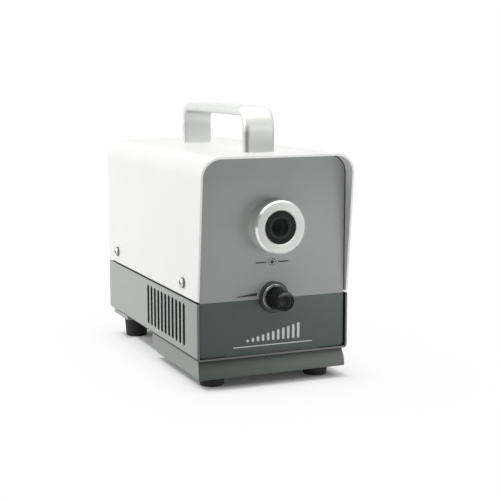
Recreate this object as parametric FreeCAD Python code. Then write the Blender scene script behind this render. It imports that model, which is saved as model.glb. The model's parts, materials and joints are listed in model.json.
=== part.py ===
import FreeCAD, Part
import math
import os
from FreeCAD import Vector

# Bench-top cold light source for fiber optic light guides.
# Millimetres, +Z up, front towards -Y. While the pieces are modelled, y = 0 is the plane of the
# cabinet's front edges; save() moves everything so that the origin is at the centre of the base.

# ---------------------------------------------------------------- cabinet
cabinet_width = 121.0
cabinet_depth = 219.8
sheet = 1.5                   # thickness of the chassis tray, top cover and rear panel
tray_underside = 22.5         # height of the chassis above the bench
tray_height = 42.4
tray_bend_r = 2.5
split_gap = 1.6               # shadow gap between the tray's walls and the cover
cover_height = 104.3
cover_corner_r = 15.0
hood_reach = 10.0             # how far the cover's front edge leans out at the top
flange_rise = 17.0            # tray's joggled flange above its wall, behind the cover
flange_end_gap = 10.0
slip_gap = 0.2                # between sheets that slide past each other

# screws through the cover into the tray's flange
cover_screw_front = 29.6
cover_screw_rear_inset = 25.8
cover_screw_rise = 9.7
cover_screw_length = 6.0

# vent slots in both walls of the tray
slot_count = 11
slot_pitch = 8.33
slot_width = 4.8
slot_length = 32.2
slot_first = 28.9             # first slot's centre behind the cabinet's front edge
slot_sill = 6.2               # slot's lower end above the tray's underside

# front panel and its printed film
panel_setback = 2.0
film = 0.4
panel_thickness = 2.0
panel_side_gap = 1.0
panel_top_gap = 0.6
panel_floor_gap = 0.2
panel_flange = 13.0           # depth of the flange that is screwed to the tray
panel_screw_inset = 8.0       # from the flange's end
rear_setback = 2.0

# ---------------------------------------------------------------- base
plinth_gap = 0.9              # shadow gap between plinth and tray
plinth_length = 108.5
plinth_half_width_top = 58.3
plinth_half_width_base = 59.2
plinth_front_top = 4.5        # how far the plinth's front stands back at its top
plinth_front_base = 1.0
plinth_wall = 2.0
plinth_rear_slope = 15.5      # length of the sloped lower rear end
plinth_rear_lift = 5.0        # height of that slope's upper end above the plinth's underside
plinth_bulge_r = 18.0         # soft bend halfway up the plinth's front and sides
plinth_edge_r = 1.2
plinth_slope_r = 12.0
plinth_slope_end_r = 4.0
plinth_lean_low = 0.15        # share of the plinth's lean that lies below the soft bend
foot_bar_height = 3.8
foot_bar_length = 38.0
foot_bar_inset = 2.0          # from the cabinet's sides
foot_bar_setback = 6.0        # from the cabinet's rear edges
front_foot_height = 8.1
foot_spread = 85.4            # between foot centres, side to side
front_foot_y = 18.5
rear_foot_inset = 13.3        # foot centre to the bar's rear edge
foot_base_r = 9.0
foot_taper = 0.075            # radius gained per millimetre of height
foot_recess_r = 4.8
foot_recess = 4.0
foot_edge = 0.4               # bevel round a foot's lower edge
foot_top_edge = 0.4
foot_bar_edge_r = 0.8

# ---------------------------------------------------------------- carrying handle
handle_width = 24.4
handle_thickness = 7.0
handle_front = 25.4
handle_length = 139.0
handle_rise = 33.9            # above the cover
handle_bend_r = 15.0
handle_outer_edge_r = 4.0
handle_inner_edge_r = 1.5
handle_thread_depth = 14.0

# ---------------------------------------------------------------- light port
port_rise = 52.4              # port axis above the cover's lower edge
nose_r = 19.8
nose_reach = 13.55            # in front of the printed film
nose_chamfer = 1.3
nose_inner_chamfer = 0.7
socket_edge = 0.3
socket_r = 12.2
socket_recess = 0.8
socket_lead_in = 0.8
port_bore_r = 6.5
port_bore_length = 33.0
tail_r = 15.0
port_nut_r = 19.0
port_nut_thickness = 5.0
port_nut_notch = 4.0          # width of the notch for a pin wrench

# ---------------------------------------------------------------- optics and cooling
barrel_wall = 4.0
barrel_mouth = 2.5            # thickness of the barrel's front wall
barrel_length = 24.0
barrel_flange = 42.0
barrel_flange_thickness = 3.0
barrel_flange_corner = 4.0
barrel_mouth_step = 1.0       # barrel's mouth wider than the port's bore, on the radius
lens_r = 12.5
lens_edge = 2.5
lens_dome = 5.5
lens_rim = 1.5                # flat rim round the lens's dome
retainer_thickness = 2.0
led_board_r = 10.0
led_board_thickness = 1.6
led_board_notches = 6
led_board_notch_r = 1.6
led_side = 5.0
led_height = 1.0
led_dome_r = 2.0
heat_sink_side = 70.0
heat_sink_base = 5.0
fin_count = 11
fin_thickness = 1.6
fin_depth = 40.0
bracket_sheet = 2.0
bracket_width = 60.0
bracket_foot = 24.0
bracket_screw_inset = 8.0     # from the bracket's side edges
bracket_gap = 1.0             # below the barrel's flange
bracket_window_inset = 12.0
bracket_window_margin = 10.0  # between the window and the upper screws
bracket_window_r = 3.0
wire_room = 6.0               # above the driver board's tallest part, for the leads
sink_screw_gap = 1.0          # metal left behind the screws in the heat sink's base

# ---------------------------------------------------------------- fan
fan_size = 60.0
fan_thickness = 15.0
fan_hole_pitch = 50.0
fan_bore_r = 28.5
fan_corner = 4.0
fan_tip_gap = 1.0
fan_strut = 1.6               # thickness of the struts that hold the motor
fan_strut_width = 3.0
fan_strut_count = 3
fan_plate_rim = 2.5           # motor plate wider than the motor
fan_tube_wall = 1.8
fan_tube_share = 0.55         # bearing tube's reach, as a share of the fan's thickness
fan_cup_wall = 1.5
fan_cup_front_gap = 0.8
fan_cup_rear_gap = 1.0
fan_hub_r = 16.0
fan_motor_r = 12.5
fan_coil_r = 11.0
fan_shaft_r = 1.5
blade_count = 7
blade_thickness = 1.4
blade_pitch_deg = 38.0
guard_wire_r = 1.0
guard_rings = 3
guard_eye_rim = 2.0
guard_ring_step = 1.3         # the rings' plane behind the spokes' plane

# ---------------------------------------------------------------- mains inlet
inlet_x = -22.0
inlet_rise = 23.0             # module centre above the tray's underside
inlet_flange_width = 50.0
inlet_flange_height = 36.0
inlet_flange_thickness = 3.0
inlet_body_width = 29.0
inlet_body_height = 32.0
inlet_depth = 25.0            # from the flange's face to the back of the body
inlet_screw_pitch = 40.0
inlet_ear_half = 6.0          # half height of the flange's ears
inlet_ear_width = 7.0
inlet_ear_r = 4.0
inlet_corner_r = 2.0
socket_width = 24.4
socket_height = 16.8
socket_corner = 4.6
socket_depth = 17.0
socket_corner_r = 1.0
socket_rise = 5.6             # socket centre above the module's centre
blade_width = 2.0
blade_height = 4.0
blade_length = 15.0
blade_tail = 8.0
line_pitch = 14.0             # between the two outer blades
earth_offset = 4.0            # earth blade above the outer blades
drawer_width = 16.0
drawer_height = 7.4
drawer_drop = 10.3            # drawer centre below the module's centre
drawer_depth = 23.0
drawer_lip = 1.8
drawer_gap = 0.2
drawer_front_rim = 1.0        # drawer's front wider than its body, at the sides
drawer_front_rise = 0.9       # and above and below
drawer_front_r = 1.0
drawer_end_wall = 1.2
drawer_notch_width = 6.0      # for the blade of a screwdriver
drawer_notch = 1.0
fuse_r = 2.5
fuse_glass_r = 2.2
fuse_length = 20.0
fuse_cap = 5.0
fuse_end_gap = 0.2

# ---------------------------------------------------------------- rocker switch
switch_x = 32.0
switch_rise = 23.0
switch_bezel_width = 15.0
switch_bezel_height = 21.4
switch_bezel = 2.0
switch_body_width = 12.6
switch_body_height = 19.0
switch_body_depth = 14.0
rocker_width = 9.6
rocker_half_length = 7.6
rocker_pivot_depth = 1.5      # behind the rear panel's face
rocker_crest = 4.0            # rocker's ends outside its pivot
rocker_saddle = 2.4           # its middle outside its pivot
rocker_saddle_r = 20.0
rocker_foot = 4.0             # its narrow inner end inside its pivot
rocker_foot_half = 3.0
rocker_tilt_deg = 10.0
rocker_gap = 0.3              # beside the rocker
rocker_end_gap = 0.9          # beyond its ends, and behind its foot
rocker_edge_r = 0.5
rocker_foot_r = 1.0
trunnion_r = 1.2
trunnion_reach = 0.6          # trunnions' reach into the housing's walls
switch_bezel_r = 1.5
terminal_width = 4.8
terminal_thickness = 0.8
terminal_reach = 7.0          # behind the housing
terminal_root = 2.0           # inside the housing
terminal_drops = (5.5, -0.5)  # below the switch's centre

# ---------------------------------------------------------------- knob and potentiometer
knob_rise = 1.1               # knob axis above the top of the tray's walls
knob_panel_gap = 0.4
skirt_r = 11.5
skirt_thickness = 2.6
knob_ring_r = 9.7
knob_ring_thickness = 1.4
knob_sleeve_r = 7.8
knob_hollow_r = 6.9
knob_base_r = 8.3
knob_face_r = 7.2
knob_length = 17.6            # of the grip, in front of the ring
knob_rim = 1.0                # rounding of the grip's front edge, along the axis
knob_rim_in = 0.7             # and across it
knob_edge = 0.3               # bevel at the skirt's rear edge
skirt_bevel = 0.5
knob_sleeve_gap = 0.6         # between the grip's sleeve and the rear face of the skirt
knob_cap_r = 5.0
knob_cap_depth = 2.4
knob_cap_inset = 0.5          # cap's rim behind the grip's front
knob_cap_bevel = 0.5
knob_dish_r = 14.0
knob_dish = 0.9               # depth of the hollow in the cap
flute_count = 18
flute_r = 0.9
flute_rise = 0.5              # flutes' centre lines outside the grip's surface
flute_start = 0.8             # in front of the ring
set_screw_length = 3.4
set_screw_slot = 1.0
set_screw_slot_width = 0.5
pot_r = 8.5
pot_depth = 9.5
pot_bushing_r = 3.5
pot_nut_thickness = 2.0
pot_nut_across = 11.0
pot_bushing_proud = 0.6       # in front of the nut
pot_back_wall = 2.0
pot_lug_pitch = 4.0
pot_lug_width = 1.4
pot_lug_thickness = 0.6
pot_lug_reach = 6.0           # below the body
pot_lug_setback = 2.0         # behind the front panel
shaft_r = 3.0
shaft_grip = 11.5             # shaft inside the grip
running_gap = 0.06

# ---------------------------------------------------------------- power supply and driver boards
board = 1.6
standoff_height = 6.0
standoff_r = 3.0
standoff_floor = 1.5          # solid metal below the threaded hole
board_edge = 4.0              # screw centre to board edge
board_gap = 8.0               # between the driver board and the supply board
psu_tail_gap = 4.0            # behind the supply board, to the inlet's blades
psu_width = 92.0
driver_gap = 7.8              # between the engine bracket and the driver board
driver_length = 34.0
driver_width = 72.0
transformer_x = -18.0
transformer_width = 26.0
transformer_depth = 15.6
transformer_height = 24.0
transformer_limb = 6.0
winding_gap = 0.3
winding_overhang = 4.0        # in front of and behind the core
winding_r = 3.0
bulk_cap_r = 9.0
bulk_cap_height = 27.0
bulk_cap_inset = 4.0          # from the board's rear edge
output_cap_r = 5.0
output_cap_height = 18.0
output_cap_count = 3
output_cap_pitch = 11.5
output_cap_inset = 8.0        # from the board's front edge
output_cap_side_inset = 14.0
cap_groove_rise = 0.82        # groove's height on a capacitor, as a share of its height
cap_groove = 0.5
cap_groove_height = 1.2
cooling_plate_height = 24.0
cooling_plate_thickness = 2.0
cooling_plate_fold = 8.0      # width of its folded-over top
cooling_plate_gap = 6.0       # beside the output capacitors
cooling_plate_front_inset = 12.0
cooling_plate_rear_inset = 14.0
inductor_r = 9.0
inductor_bore_r = 4.0
inductor_height = 8.0

# ---------------------------------------------------------------- screws and fits
m4_r = 2.0
m4_head_r = 4.0
m4_head = 2.6
m4_nut_across = 7.0
m4_nut = 3.2
nut_room = 2.0                # free floor beside a nut
m3_r = 1.5
m3_head_r = 2.8
m3_head = 2.0
m5_r = 2.5
m5_head_r = 4.6
m5_head = 3.2
head_flat_share = 0.55        # of a pan head's radius
head_dome_share = 0.55        # of a pan head's height
head_bulge_share = 0.08
head_cross_share = 0.55       # depth of the cross recess, as a share of the head's height
cross_slot = 0.9
washer_r = 6.5
washer = 1.2
head_edge_gap = 0.8           # between a screw's head and the edge of what it sits on
hole_gap = 0.2                # radial gap round a screw's shank in a clearance hole
thread_gap = 0.05             # radial gap round a screw's shank in its thread
seat_gap = 0.05               # radial gap of a pushed-in or screwed-in round piece
tip_gap = 1.0                 # between a screw's end and the end of its hole or wall
screw_proud = 0.6             # screw's end beyond its nut
overcut = 1.0                 # how far a cutting shape runs past what it cuts
overlap = 0.5                 # how deep two shapes of one piece run into each other

# ---------------------------------------------------------------- levels and planes worked out from these
side = cabinet_width / 2
tray_floor = tray_underside + sheet
split_z = tray_underside + tray_height
cover_bottom = split_z + split_gap
cover_top = cover_bottom + cover_height
port_z = cover_bottom + port_rise
knob_z = split_z + knob_rise
inner_side = side - sheet
flange_outer = inner_side - slip_gap
flange_inner = flange_outer - sheet

film_front = panel_setback
film_back = film_front + film
panel_back = film_back + panel_thickness
rear_face = cabinet_depth - rear_setback
rear_inner = rear_face - sheet
panel_half = inner_side - panel_side_gap
panel_top = cover_top - sheet - panel_top_gap
panel_bottom = tray_floor + panel_floor_gap

nose_face = film_front - nose_reach
socket_face = nose_face + socket_recess
socket_end = socket_face + port_bore_length
tail_end = panel_back + port_nut_thickness + tip_gap
barrel_r = lens_r + seat_gap + barrel_wall
barrel_end = socket_end + barrel_length
sink_back = barrel_end + heat_sink_base
fan_front = rear_inner - fan_thickness
fan_strut_back = fan_front + fan_strut
fan_tube_back = fan_front + fan_thickness * fan_tube_share
fan_tube_r = fan_shaft_r + fan_tube_wall

knob_back = film_front - knob_panel_gap
skirt_front = knob_back - skirt_thickness
ring_front = skirt_front - knob_ring_thickness
grip_front = ring_front - knob_length
shaft_end = ring_front - shaft_grip
set_screw_y = ring_front - shaft_grip / 2

inlet_z = tray_underside + inlet_rise
inlet_face = rear_face + inlet_flange_thickness
inlet_back = inlet_face - inlet_depth
drawer_z = inlet_z - drawer_drop
drawer_back = inlet_face - drawer_depth
switch_z = tray_underside + switch_rise
switch_face = rear_face + switch_bezel
switch_back = rear_face - switch_body_depth
rocker_y = rear_face - rocker_pivot_depth
rocker_bay_half_width = rocker_width / 2 + rocker_gap
board_bottom = tray_floor + standoff_height
board_top = board_bottom + board

front_reach = max(-grip_front, -nose_face, hood_reach)
rear_reach = max(cabinet_depth, rear_face + 2 * guard_wire_r + max(m3_head, guard_ring_step),
                 inlet_face + m3_head, inlet_face + drawer_lip)
base_centre_y = (rear_reach - front_reach) / 2

bar_rear = cabinet_depth - foot_bar_setback
rear_foot_y = bar_rear - rear_foot_inset
plinth_screw_y = plinth_length - plinth_rear_slope - foot_recess_r - plinth_wall
plinth_screw_seat = front_foot_height + m4_head + screw_proud
foot_places = [(sx * foot_spread / 2, y) for y in (front_foot_y, rear_foot_y) for sx in (-1, 1)]
plinth_screw_places = [(sx * foot_spread / 2, plinth_screw_y) for sx in (-1, 1)]

flange_half = foot_spread / 2 - m4_nut_across / math.sqrt(3) - nut_room
driver_front = barrel_end + driver_gap
psu_front = driver_front + driver_length + board_gap
psu_rear = inlet_back - blade_tail - psu_tail_gap
psu_length = psu_rear - psu_front
bulk_cap_y = psu_rear - bulk_cap_inset - bulk_cap_r
transformer_y = (psu_front + bulk_cap_y - bulk_cap_r) / 2
output_cap_x = psu_width / 2 - output_cap_side_inset - output_cap_r


# ---------------------------------------------------------------- shape helpers
def box(x0, x1, y0, y1, z0, z1):
    return Part.makeBox(x1 - x0, y1 - y0, z1 - z0, Vector(x0, y0, z0))


def rod_x(r, x0, x1, y, z):
    return Part.makeCylinder(r, x1 - x0, Vector(x0, y, z), Vector(1, 0, 0))


def rod_y(r, y0, y1, x=0.0, z=0.0):
    return Part.makeCylinder(r, y1 - y0, Vector(x, y0, z), Vector(0, 1, 0))


def rod_z(r, z0, z1, x=0.0, y=0.0):
    return Part.makeCylinder(r, z1 - z0, Vector(x, y, z0), Vector(0, 0, 1))


def drill_x(r, x0, x1, y, z):
    return rod_x(r, x0 - overcut, x1 + overcut, y, z)


def drill_y(r, y0, y1, x=0.0, z=0.0):
    return rod_y(r, y0 - overcut, y1 + overcut, x, z)


def drill_z(r, z0, z1, x=0.0, y=0.0):
    return rod_z(r, z0 - overcut, z1 + overcut, x, y)


def turned_y(profile, x, z):
    """Solid of revolution about a line along Y through (x, z); profile is a list of (radius, y)."""
    points = [Vector(r, y, 0) for r, y in profile]
    face = Part.Face(Part.makePolygon(points + [points[0]]))
    solid = face.revolve(Vector(0, 0, 0), Vector(0, 1, 0), 360)
    solid.translate(Vector(x, 0, z))
    return solid


def turned_z(profile, x, y):
    """Solid of revolution about a vertical line through (x, y); profile is a list of (radius, z)."""
    points = [Vector(r, 0, z) for r, z in profile]
    face = Part.Face(Part.makePolygon(points + [points[0]]))
    solid = face.revolve(Vector(0, 0, 0), Vector(0, 0, 1), 360)
    solid.translate(Vector(x, y, 0))
    return solid


def rounded_wire(corners, closed=True):
    """Wire through corners [(Vector, radius), ...], with a tangent arc at each corner that has a radius."""
    count = len(corners)
    stops = []
    for i, (point, radius) in enumerate(corners):
        at_end = not closed and i in (0, count - 1)
        if at_end or radius <= 0:
            stops.append((point, None, point))
            continue
        to_last = (corners[i - 1][0] - point).normalize()
        to_next = (corners[(i + 1) % count][0] - point).normalize()
        half_angle = to_last.getAngle(to_next) / 2
        reach = radius / math.tan(half_angle)
        inward = (to_last + to_next).normalize()
        middle = point + inward * (radius / math.sin(half_angle) - radius)
        stops.append((point + to_last * reach, middle, point + to_next * reach))
    edges = []
    for i, (start, middle, end) in enumerate(stops):
        if middle is not None:
            edges.append(Part.Arc(start, middle, end).toShape())
        if i + 1 < count or closed:
            following = stops[(i + 1) % count][0]
            if (following - end).Length > 1e-6:
                edges.append(Part.makeLine(end, following))
    return Part.Wire(edges)


def prism_y(corners, y0, y1):
    """Corners are (x, z, radius)."""
    wire = rounded_wire([(Vector(x, y0, z), r) for x, z, r in corners])
    return Part.Face(wire).extrude(Vector(0, y1 - y0, 0))


def prism_x(corners, x0, x1):
    """Corners are (y, z, radius)."""
    wire = rounded_wire([(Vector(x0, y, z), r) for y, z, r in corners])
    return Part.Face(wire).extrude(Vector(x1 - x0, 0, 0))


def prism_z(corners, z0, z1):
    """Corners are (x, y, radius)."""
    wire = rounded_wire([(Vector(x, y, z0), r) for x, y, r in corners])
    return Part.Face(wire).extrude(Vector(0, 0, z1 - z0))


def square_plate_y(size, corner, y0, y1, z):
    half = size / 2
    return prism_y([(-half, z - half, corner), (half, z - half, corner), (half, z + half, corner),
                    (-half, z + half, corner)], y0, y1)


def hexagon(across):
    r = across / math.sqrt(3)
    return [(r * math.cos(math.radians(60 * i)), r * math.sin(math.radians(60 * i)), 0) for i in range(6)]


def moved(shape, x=0.0, y=0.0, z=0.0):
    copy = shape.copy()
    copy.translate(Vector(x, y, z))
    return copy


def cut_all(shape, tools):
    for tool in tools:
        shape = shape.cut(tool)
    return shape


def pan_screw(shank_r, head_r, head, length):
    """Pan-head screw along -Z with its head's seat at z = 0 and a cross recess in its top."""
    flat_r = head_r * head_flat_share
    shoulder = Vector(head_r, 0, head * (1 - head_dome_share))
    crown = Vector(flat_r, 0, head)
    bulge = (shoulder + crown) / 2 + Vector(1, 0, 1).normalize() * head * head_bulge_share
    outline = Part.makePolygon([crown, Vector(0, 0, head), Vector(0, 0, 0), Vector(head_r, 0, 0), shoulder])
    wire = Part.Wire(outline.Edges + [Part.Arc(shoulder, bulge, crown).toShape()])
    screw = Part.Face(wire).revolve(Vector(0, 0, 0), Vector(0, 0, 1), 360)
    screw = screw.fuse(rod_z(shank_r, -length, 0))
    for turn in (0, 90):
        slot = box(-flat_r, flat_r, -cross_slot / 2, cross_slot / 2, head * (1 - head_cross_share),
                   head + overcut)
        slot.rotate(Vector(0, 0, 0), Vector(0, 0, 1), turn)
        screw = screw.cut(slot)
    return screw


def pointing(shape, direction):
    """Turn a shape whose head points along +Z so that it points along direction."""
    turn = FreeCAD.Rotation(Vector(0, 0, 1), Vector(*direction))
    copy = shape.copy()
    copy.rotate(Vector(0, 0, 0), turn.Axis, math.degrees(turn.Angle))
    return copy


def save(name, *solids):
    group = Part.makeCompound(list(solids)) if len(solids) > 1 else solids[0]
    group = moved(group, y=-base_centre_y)
    for solid in group.Solids:
        assert solid.isValid(), name
    group.exportStep("parts/" + name + ".step")


# ---------------------------------------------------------------- cabinet pieces
def slot_cutters():
    low = tray_underside + slot_sill + slot_width / 2
    high = low + slot_length - slot_width
    cutters = []
    for i in range(slot_count):
        y = slot_first + i * slot_pitch
        half = slot_width / 2
        cutters.append(drill_x(half, -side, side, y, low))
        cutters.append(drill_x(half, -side, side, y, high))
        cutters.append(box(-side - overcut, side + overcut, y - half, y + half, low, high))
    return cutters


def cover_screw_places():
    rows = (cover_screw_front, cabinet_depth - cover_screw_rear_inset)
    return [(y, cover_bottom + cover_screw_rise) for y in rows]


def chassis_tray():
    outer = prism_y([(-side, split_z, 0), (-side, tray_underside, tray_bend_r),
                     (side, tray_underside, tray_bend_r), (side, split_z, 0)], 0, cabinet_depth)
    inner_r = tray_bend_r - sheet
    hollow = prism_y([(-inner_side, split_z + overcut, 0), (-inner_side, tray_floor, inner_r),
                      (inner_side, tray_floor, inner_r), (inner_side, split_z + overcut, 0)],
                     -overcut, cabinet_depth + overcut)
    tray = outer.cut(hollow)
    for sx in (-1, 1):
        wall = sorted((sx * flange_inner, sx * flange_outer))
        step = sorted((sx * flange_inner, sx * side))
        tray = tray.fuse(box(wall[0], wall[1], flange_end_gap, cabinet_depth - flange_end_gap,
                             split_z - 2 * sheet, split_z + flange_rise))
        tray = tray.fuse(box(step[0], step[1], flange_end_gap, cabinet_depth - flange_end_gap,
                             split_z - 2 * sheet, split_z - sheet))
    tools = slot_cutters()
    for x, y in foot_places + plinth_screw_places:
        tools.append(drill_z(m4_r + hole_gap, tray_underside, tray_floor, x, y))
    for x, y in panel_screw_places() + bracket_screw_places() + standoff_places():
        tools.append(drill_z(m3_r + thread_gap, tray_underside, tray_floor, x, y))
    for y, z in cover_screw_places():
        tools.append(drill_x(m4_r + thread_gap, -side, side, y, z))
    return cut_all(tray, tools).removeSplitter()


def top_cover():
    inner_r = cover_corner_r - sheet
    outer = prism_y([(-side, cover_bottom, 0), (side, cover_bottom, 0), (side, cover_top, cover_corner_r),
                     (-side, cover_top, cover_corner_r)], -hood_reach, cabinet_depth)
    hollow = prism_y([(-inner_side, cover_bottom - overcut, 0), (inner_side, cover_bottom - overcut, 0),
                      (inner_side, cover_top - sheet, inner_r), (-inner_side, cover_top - sheet, inner_r)],
                     -hood_reach - overcut, cabinet_depth + overcut)
    cover = outer.cut(hollow)
    ahead = -2 * hood_reach
    lean = prism_x([(ahead, cover_bottom, 0), (0, cover_bottom, 0), (-hood_reach, cover_top, 0),
                    (ahead, cover_top, 0)], -side - overcut, side + overcut)
    tools = [lean]
    for y, z in cover_screw_places():
        tools.append(drill_x(m4_r + hole_gap, -side, side, y, z))
    for y in handle_screw_y():
        tools.append(drill_z(m5_r + hole_gap, cover_top - sheet, cover_top, 0, y))
    return cut_all(cover, tools).removeSplitter()


def panel_outline(y0, y1, bottom):
    corner = cover_corner_r - sheet - panel_side_gap
    return prism_y([(-panel_half, bottom, tray_bend_r), (panel_half, bottom, tray_bend_r),
                    (panel_half, panel_top, corner), (-panel_half, panel_top, corner)], y0, y1)


def panel_screw_places():
    front_y = panel_back + panel_flange / 2
    rear_y = rear_inner - panel_flange / 2
    x = flange_half - panel_screw_inset
    return [(sx * x, y) for y in (front_y, rear_y) for sx in (-1, 1)]


def panel_flange_sheet(y0, y1, thickness):
    flange = box(-flange_half, flange_half, y0, y1, tray_floor, tray_floor + thickness)
    holes = [drill_z(m3_r + hole_gap, tray_floor, tray_floor + thickness, x, y)
             for x, y in panel_screw_places()]
    return cut_all(flange, holes)


def front_panel():
    plate = panel_outline(film_back, panel_back, panel_bottom)
    flange = panel_flange_sheet(panel_back - overlap, panel_back + panel_flange, panel_thickness)
    web = box(-flange_half, flange_half, film_back, panel_back, tray_floor, tray_floor + panel_thickness)
    holes = [drill_y(tail_r + hole_gap, film_back, panel_back, 0, port_z),
             drill_y(pot_bushing_r + hole_gap, film_back, panel_back, 0, knob_z)]
    return cut_all(plate.fuse(flange).fuse(web), holes).removeSplitter()


def front_overlay():
    sheet_film = panel_outline(film_front, film_back, panel_bottom)
    holes = [drill_y(tail_r + hole_gap, film_front, film_back, 0, port_z),
             drill_y(pot_bushing_r + hole_gap, film_front, film_back, 0, knob_z)]
    return cut_all(sheet_film, holes)


def rear_panel():
    plate = panel_outline(rear_inner, rear_face, panel_bottom)
    flange = panel_flange_sheet(rear_inner - panel_flange, rear_inner + overlap, sheet)
    web = box(-flange_half, flange_half, rear_inner, rear_face, tray_floor, tray_floor + sheet)
    half = inlet_body_width / 2 + hole_gap
    tall = inlet_body_height / 2 + hole_gap
    tools = [drill_y(fan_bore_r, rear_inner, rear_face, 0, port_z),
             box(inlet_x - half, inlet_x + half, rear_inner - overcut, rear_face + overcut,
                 inlet_z - tall, inlet_z + tall)]
    half = switch_body_width / 2 + hole_gap
    tall = switch_body_height / 2 + hole_gap
    tools.append(box(switch_x - half, switch_x + half, rear_inner - overcut, rear_face + overcut,
                     switch_z - tall, switch_z + tall))
    for x, z in fan_screw_places():
        tools.append(drill_y(m3_r + hole_gap, rear_inner, rear_face, x, z))
    for x in inlet_screw_x():
        tools.append(drill_y(m3_r + thread_gap, rear_inner, rear_face, x, inlet_z))
    return cut_all(plate.fuse(flange).fuse(web), tools).removeSplitter()


def cover_screws():
    screw = pan_screw(m4_r, m4_head_r, m4_head, cover_screw_length)
    left = pointing(screw, (-1, 0, 0))
    right = pointing(screw, (1, 0, 0))
    screws = []
    for y, z in cover_screw_places():
        screws.append(moved(left, -side, y, z))
        screws.append(moved(right, side, y, z))
    return screws


def panel_screws():
    screws = []
    for x, y in panel_screw_places():
        seat = tray_floor + (panel_thickness if y < cabinet_depth / 2 else sheet)
        screws.append(moved(pan_screw(m3_r, m3_head_r, m3_head, seat - tray_underside), x, y, seat))
    return screws


# ---------------------------------------------------------------- base pieces
def front_plinth():
    base = front_foot_height
    top = tray_underside - plinth_gap
    bulge = (top + base) / 2
    lean = plinth_front_top - plinth_front_base
    spread = plinth_half_width_base - plinth_half_width_top
    bulge_y = plinth_front_base + lean * plinth_lean_low
    bulge_x = plinth_half_width_base - spread * plinth_lean_low
    slope_start = plinth_length - plinth_rear_slope
    slope_top = base + plinth_rear_lift
    side_shape = prism_x([(plinth_front_top, top, 0), (bulge_y, bulge, plinth_bulge_r),
                          (plinth_front_base, base, plinth_edge_r), (slope_start, base, plinth_slope_r),
                          (plinth_length, slope_top, plinth_slope_end_r), (plinth_length, top, 0)],
                         -side, side)
    end_shape = prism_y([(-plinth_half_width_base, base, plinth_edge_r),
                         (plinth_half_width_base, base, plinth_edge_r),
                         (bulge_x, bulge, plinth_bulge_r), (plinth_half_width_top, top, 0),
                         (-plinth_half_width_top, top, 0), (-bulge_x, bulge, plinth_bulge_r)],
                        -overcut, plinth_length + overcut)
    pan = side_shape.common(end_shape)
    half = plinth_half_width_top - plinth_wall
    front = plinth_front_top + plinth_wall
    rear = plinth_length - plinth_wall
    floor = base + plinth_wall
    pocket = prism_x([(front, top + overcut, 0), (front, floor, plinth_edge_r),
                      (slope_start - plinth_wall, floor, plinth_slope_r - plinth_wall),
                      (rear, slope_top + plinth_wall, plinth_slope_end_r), (rear, top + overcut, 0)],
                     -half, half)
    pan = pan.cut(pocket)
    places = foot_places[:2] + plinth_screw_places
    for x, y in places:
        pan = pan.fuse(rod_z(foot_recess_r + plinth_wall, base + overlap, tray_underside, x, y))
    tools = [drill_z(m4_r + hole_gap, base, tray_underside, x, y) for x, y in places]
    for x, y in plinth_screw_places:
        tools.append(rod_z(foot_recess_r, base - overcut, plinth_screw_seat, x, y))
    return cut_all(pan, tools).removeSplitter()


def rear_foot_bar():
    half = side - foot_bar_inset
    bottom = tray_underside - foot_bar_height
    bar = prism_y([(-half, bottom, foot_bar_edge_r), (half, bottom, foot_bar_edge_r),
                   (half, tray_underside, 0), (-half, tray_underside, 0)],
                  bar_rear - foot_bar_length, bar_rear)
    holes = [drill_z(m4_r + hole_gap, bottom, tray_underside, x, y) for x, y in foot_places[2:]]
    return cut_all(bar, holes)


def rubber_foot(x, y, height):
    top_r = foot_base_r + foot_taper * height
    foot = turned_z([(0, 0), (foot_base_r - foot_edge, 0), (foot_base_r, foot_edge),
                     (top_r, height - foot_top_edge), (top_r - foot_top_edge, height), (0, height)], x, y)
    foot = foot.cut(rod_z(foot_recess_r, -overcut, foot_recess, x, y))
    return foot.cut(drill_z(m4_r + hole_gap, 0, height, x, y))


def foot_screws():
    end = tray_floor + m4_nut + screw_proud
    screw = pointing(pan_screw(m4_r, m4_head_r, m4_head, end - foot_recess), (0, 0, -1))
    return [moved(screw, x, y, foot_recess) for x, y in foot_places]


def plinth_screws():
    end = tray_floor + m4_nut + screw_proud
    screw = pointing(pan_screw(m4_r, m4_head_r, m4_head, end - plinth_screw_seat), (0, 0, -1))
    return [moved(screw, x, y, plinth_screw_seat) for x, y in plinth_screw_places]


def base_nuts():
    nut = prism_z(hexagon(m4_nut_across), 0, m4_nut).cut(drill_z(m4_r + thread_gap, 0, m4_nut))
    return [moved(nut, x, y, tray_floor) for x, y in foot_places + plinth_screw_places]


# ---------------------------------------------------------------- handle
def handle_screw_y():
    half = handle_thickness / 2
    return [handle_front + half, handle_front + handle_length - half]


def carry_handle():
    front = handle_front
    rear = handle_front + handle_length
    top = cover_top + handle_rise
    path = rounded_wire([(Vector(0, front, cover_top), 0), (Vector(0, front, top), handle_bend_r),
                         (Vector(0, rear, top), handle_bend_r), (Vector(0, rear, cover_top), 0)],
                        closed=False)
    half = handle_width / 2
    section = rounded_wire([(Vector(-half, front, cover_top), handle_outer_edge_r),
                            (Vector(half, front, cover_top), handle_outer_edge_r),
                            (Vector(half, front + handle_thickness, cover_top), handle_inner_edge_r),
                            (Vector(-half, front + handle_thickness, cover_top), handle_inner_edge_r)])
    handle = path.makePipeShell([section], True, False)
    if handle.Volume < 0:
        handle.reverse()
    for y in handle_screw_y():
        thread = rod_z(m5_r + thread_gap, cover_top - overcut, cover_top + handle_thread_depth, 0, y)
        handle = handle.cut(thread)
    return handle


def handle_washers():
    top = cover_top - sheet
    ring = rod_z(washer_r, top - washer, top).cut(drill_z(m5_r + hole_gap, top - washer, top))
    return [moved(ring, 0, y) for y in handle_screw_y()]


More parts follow.
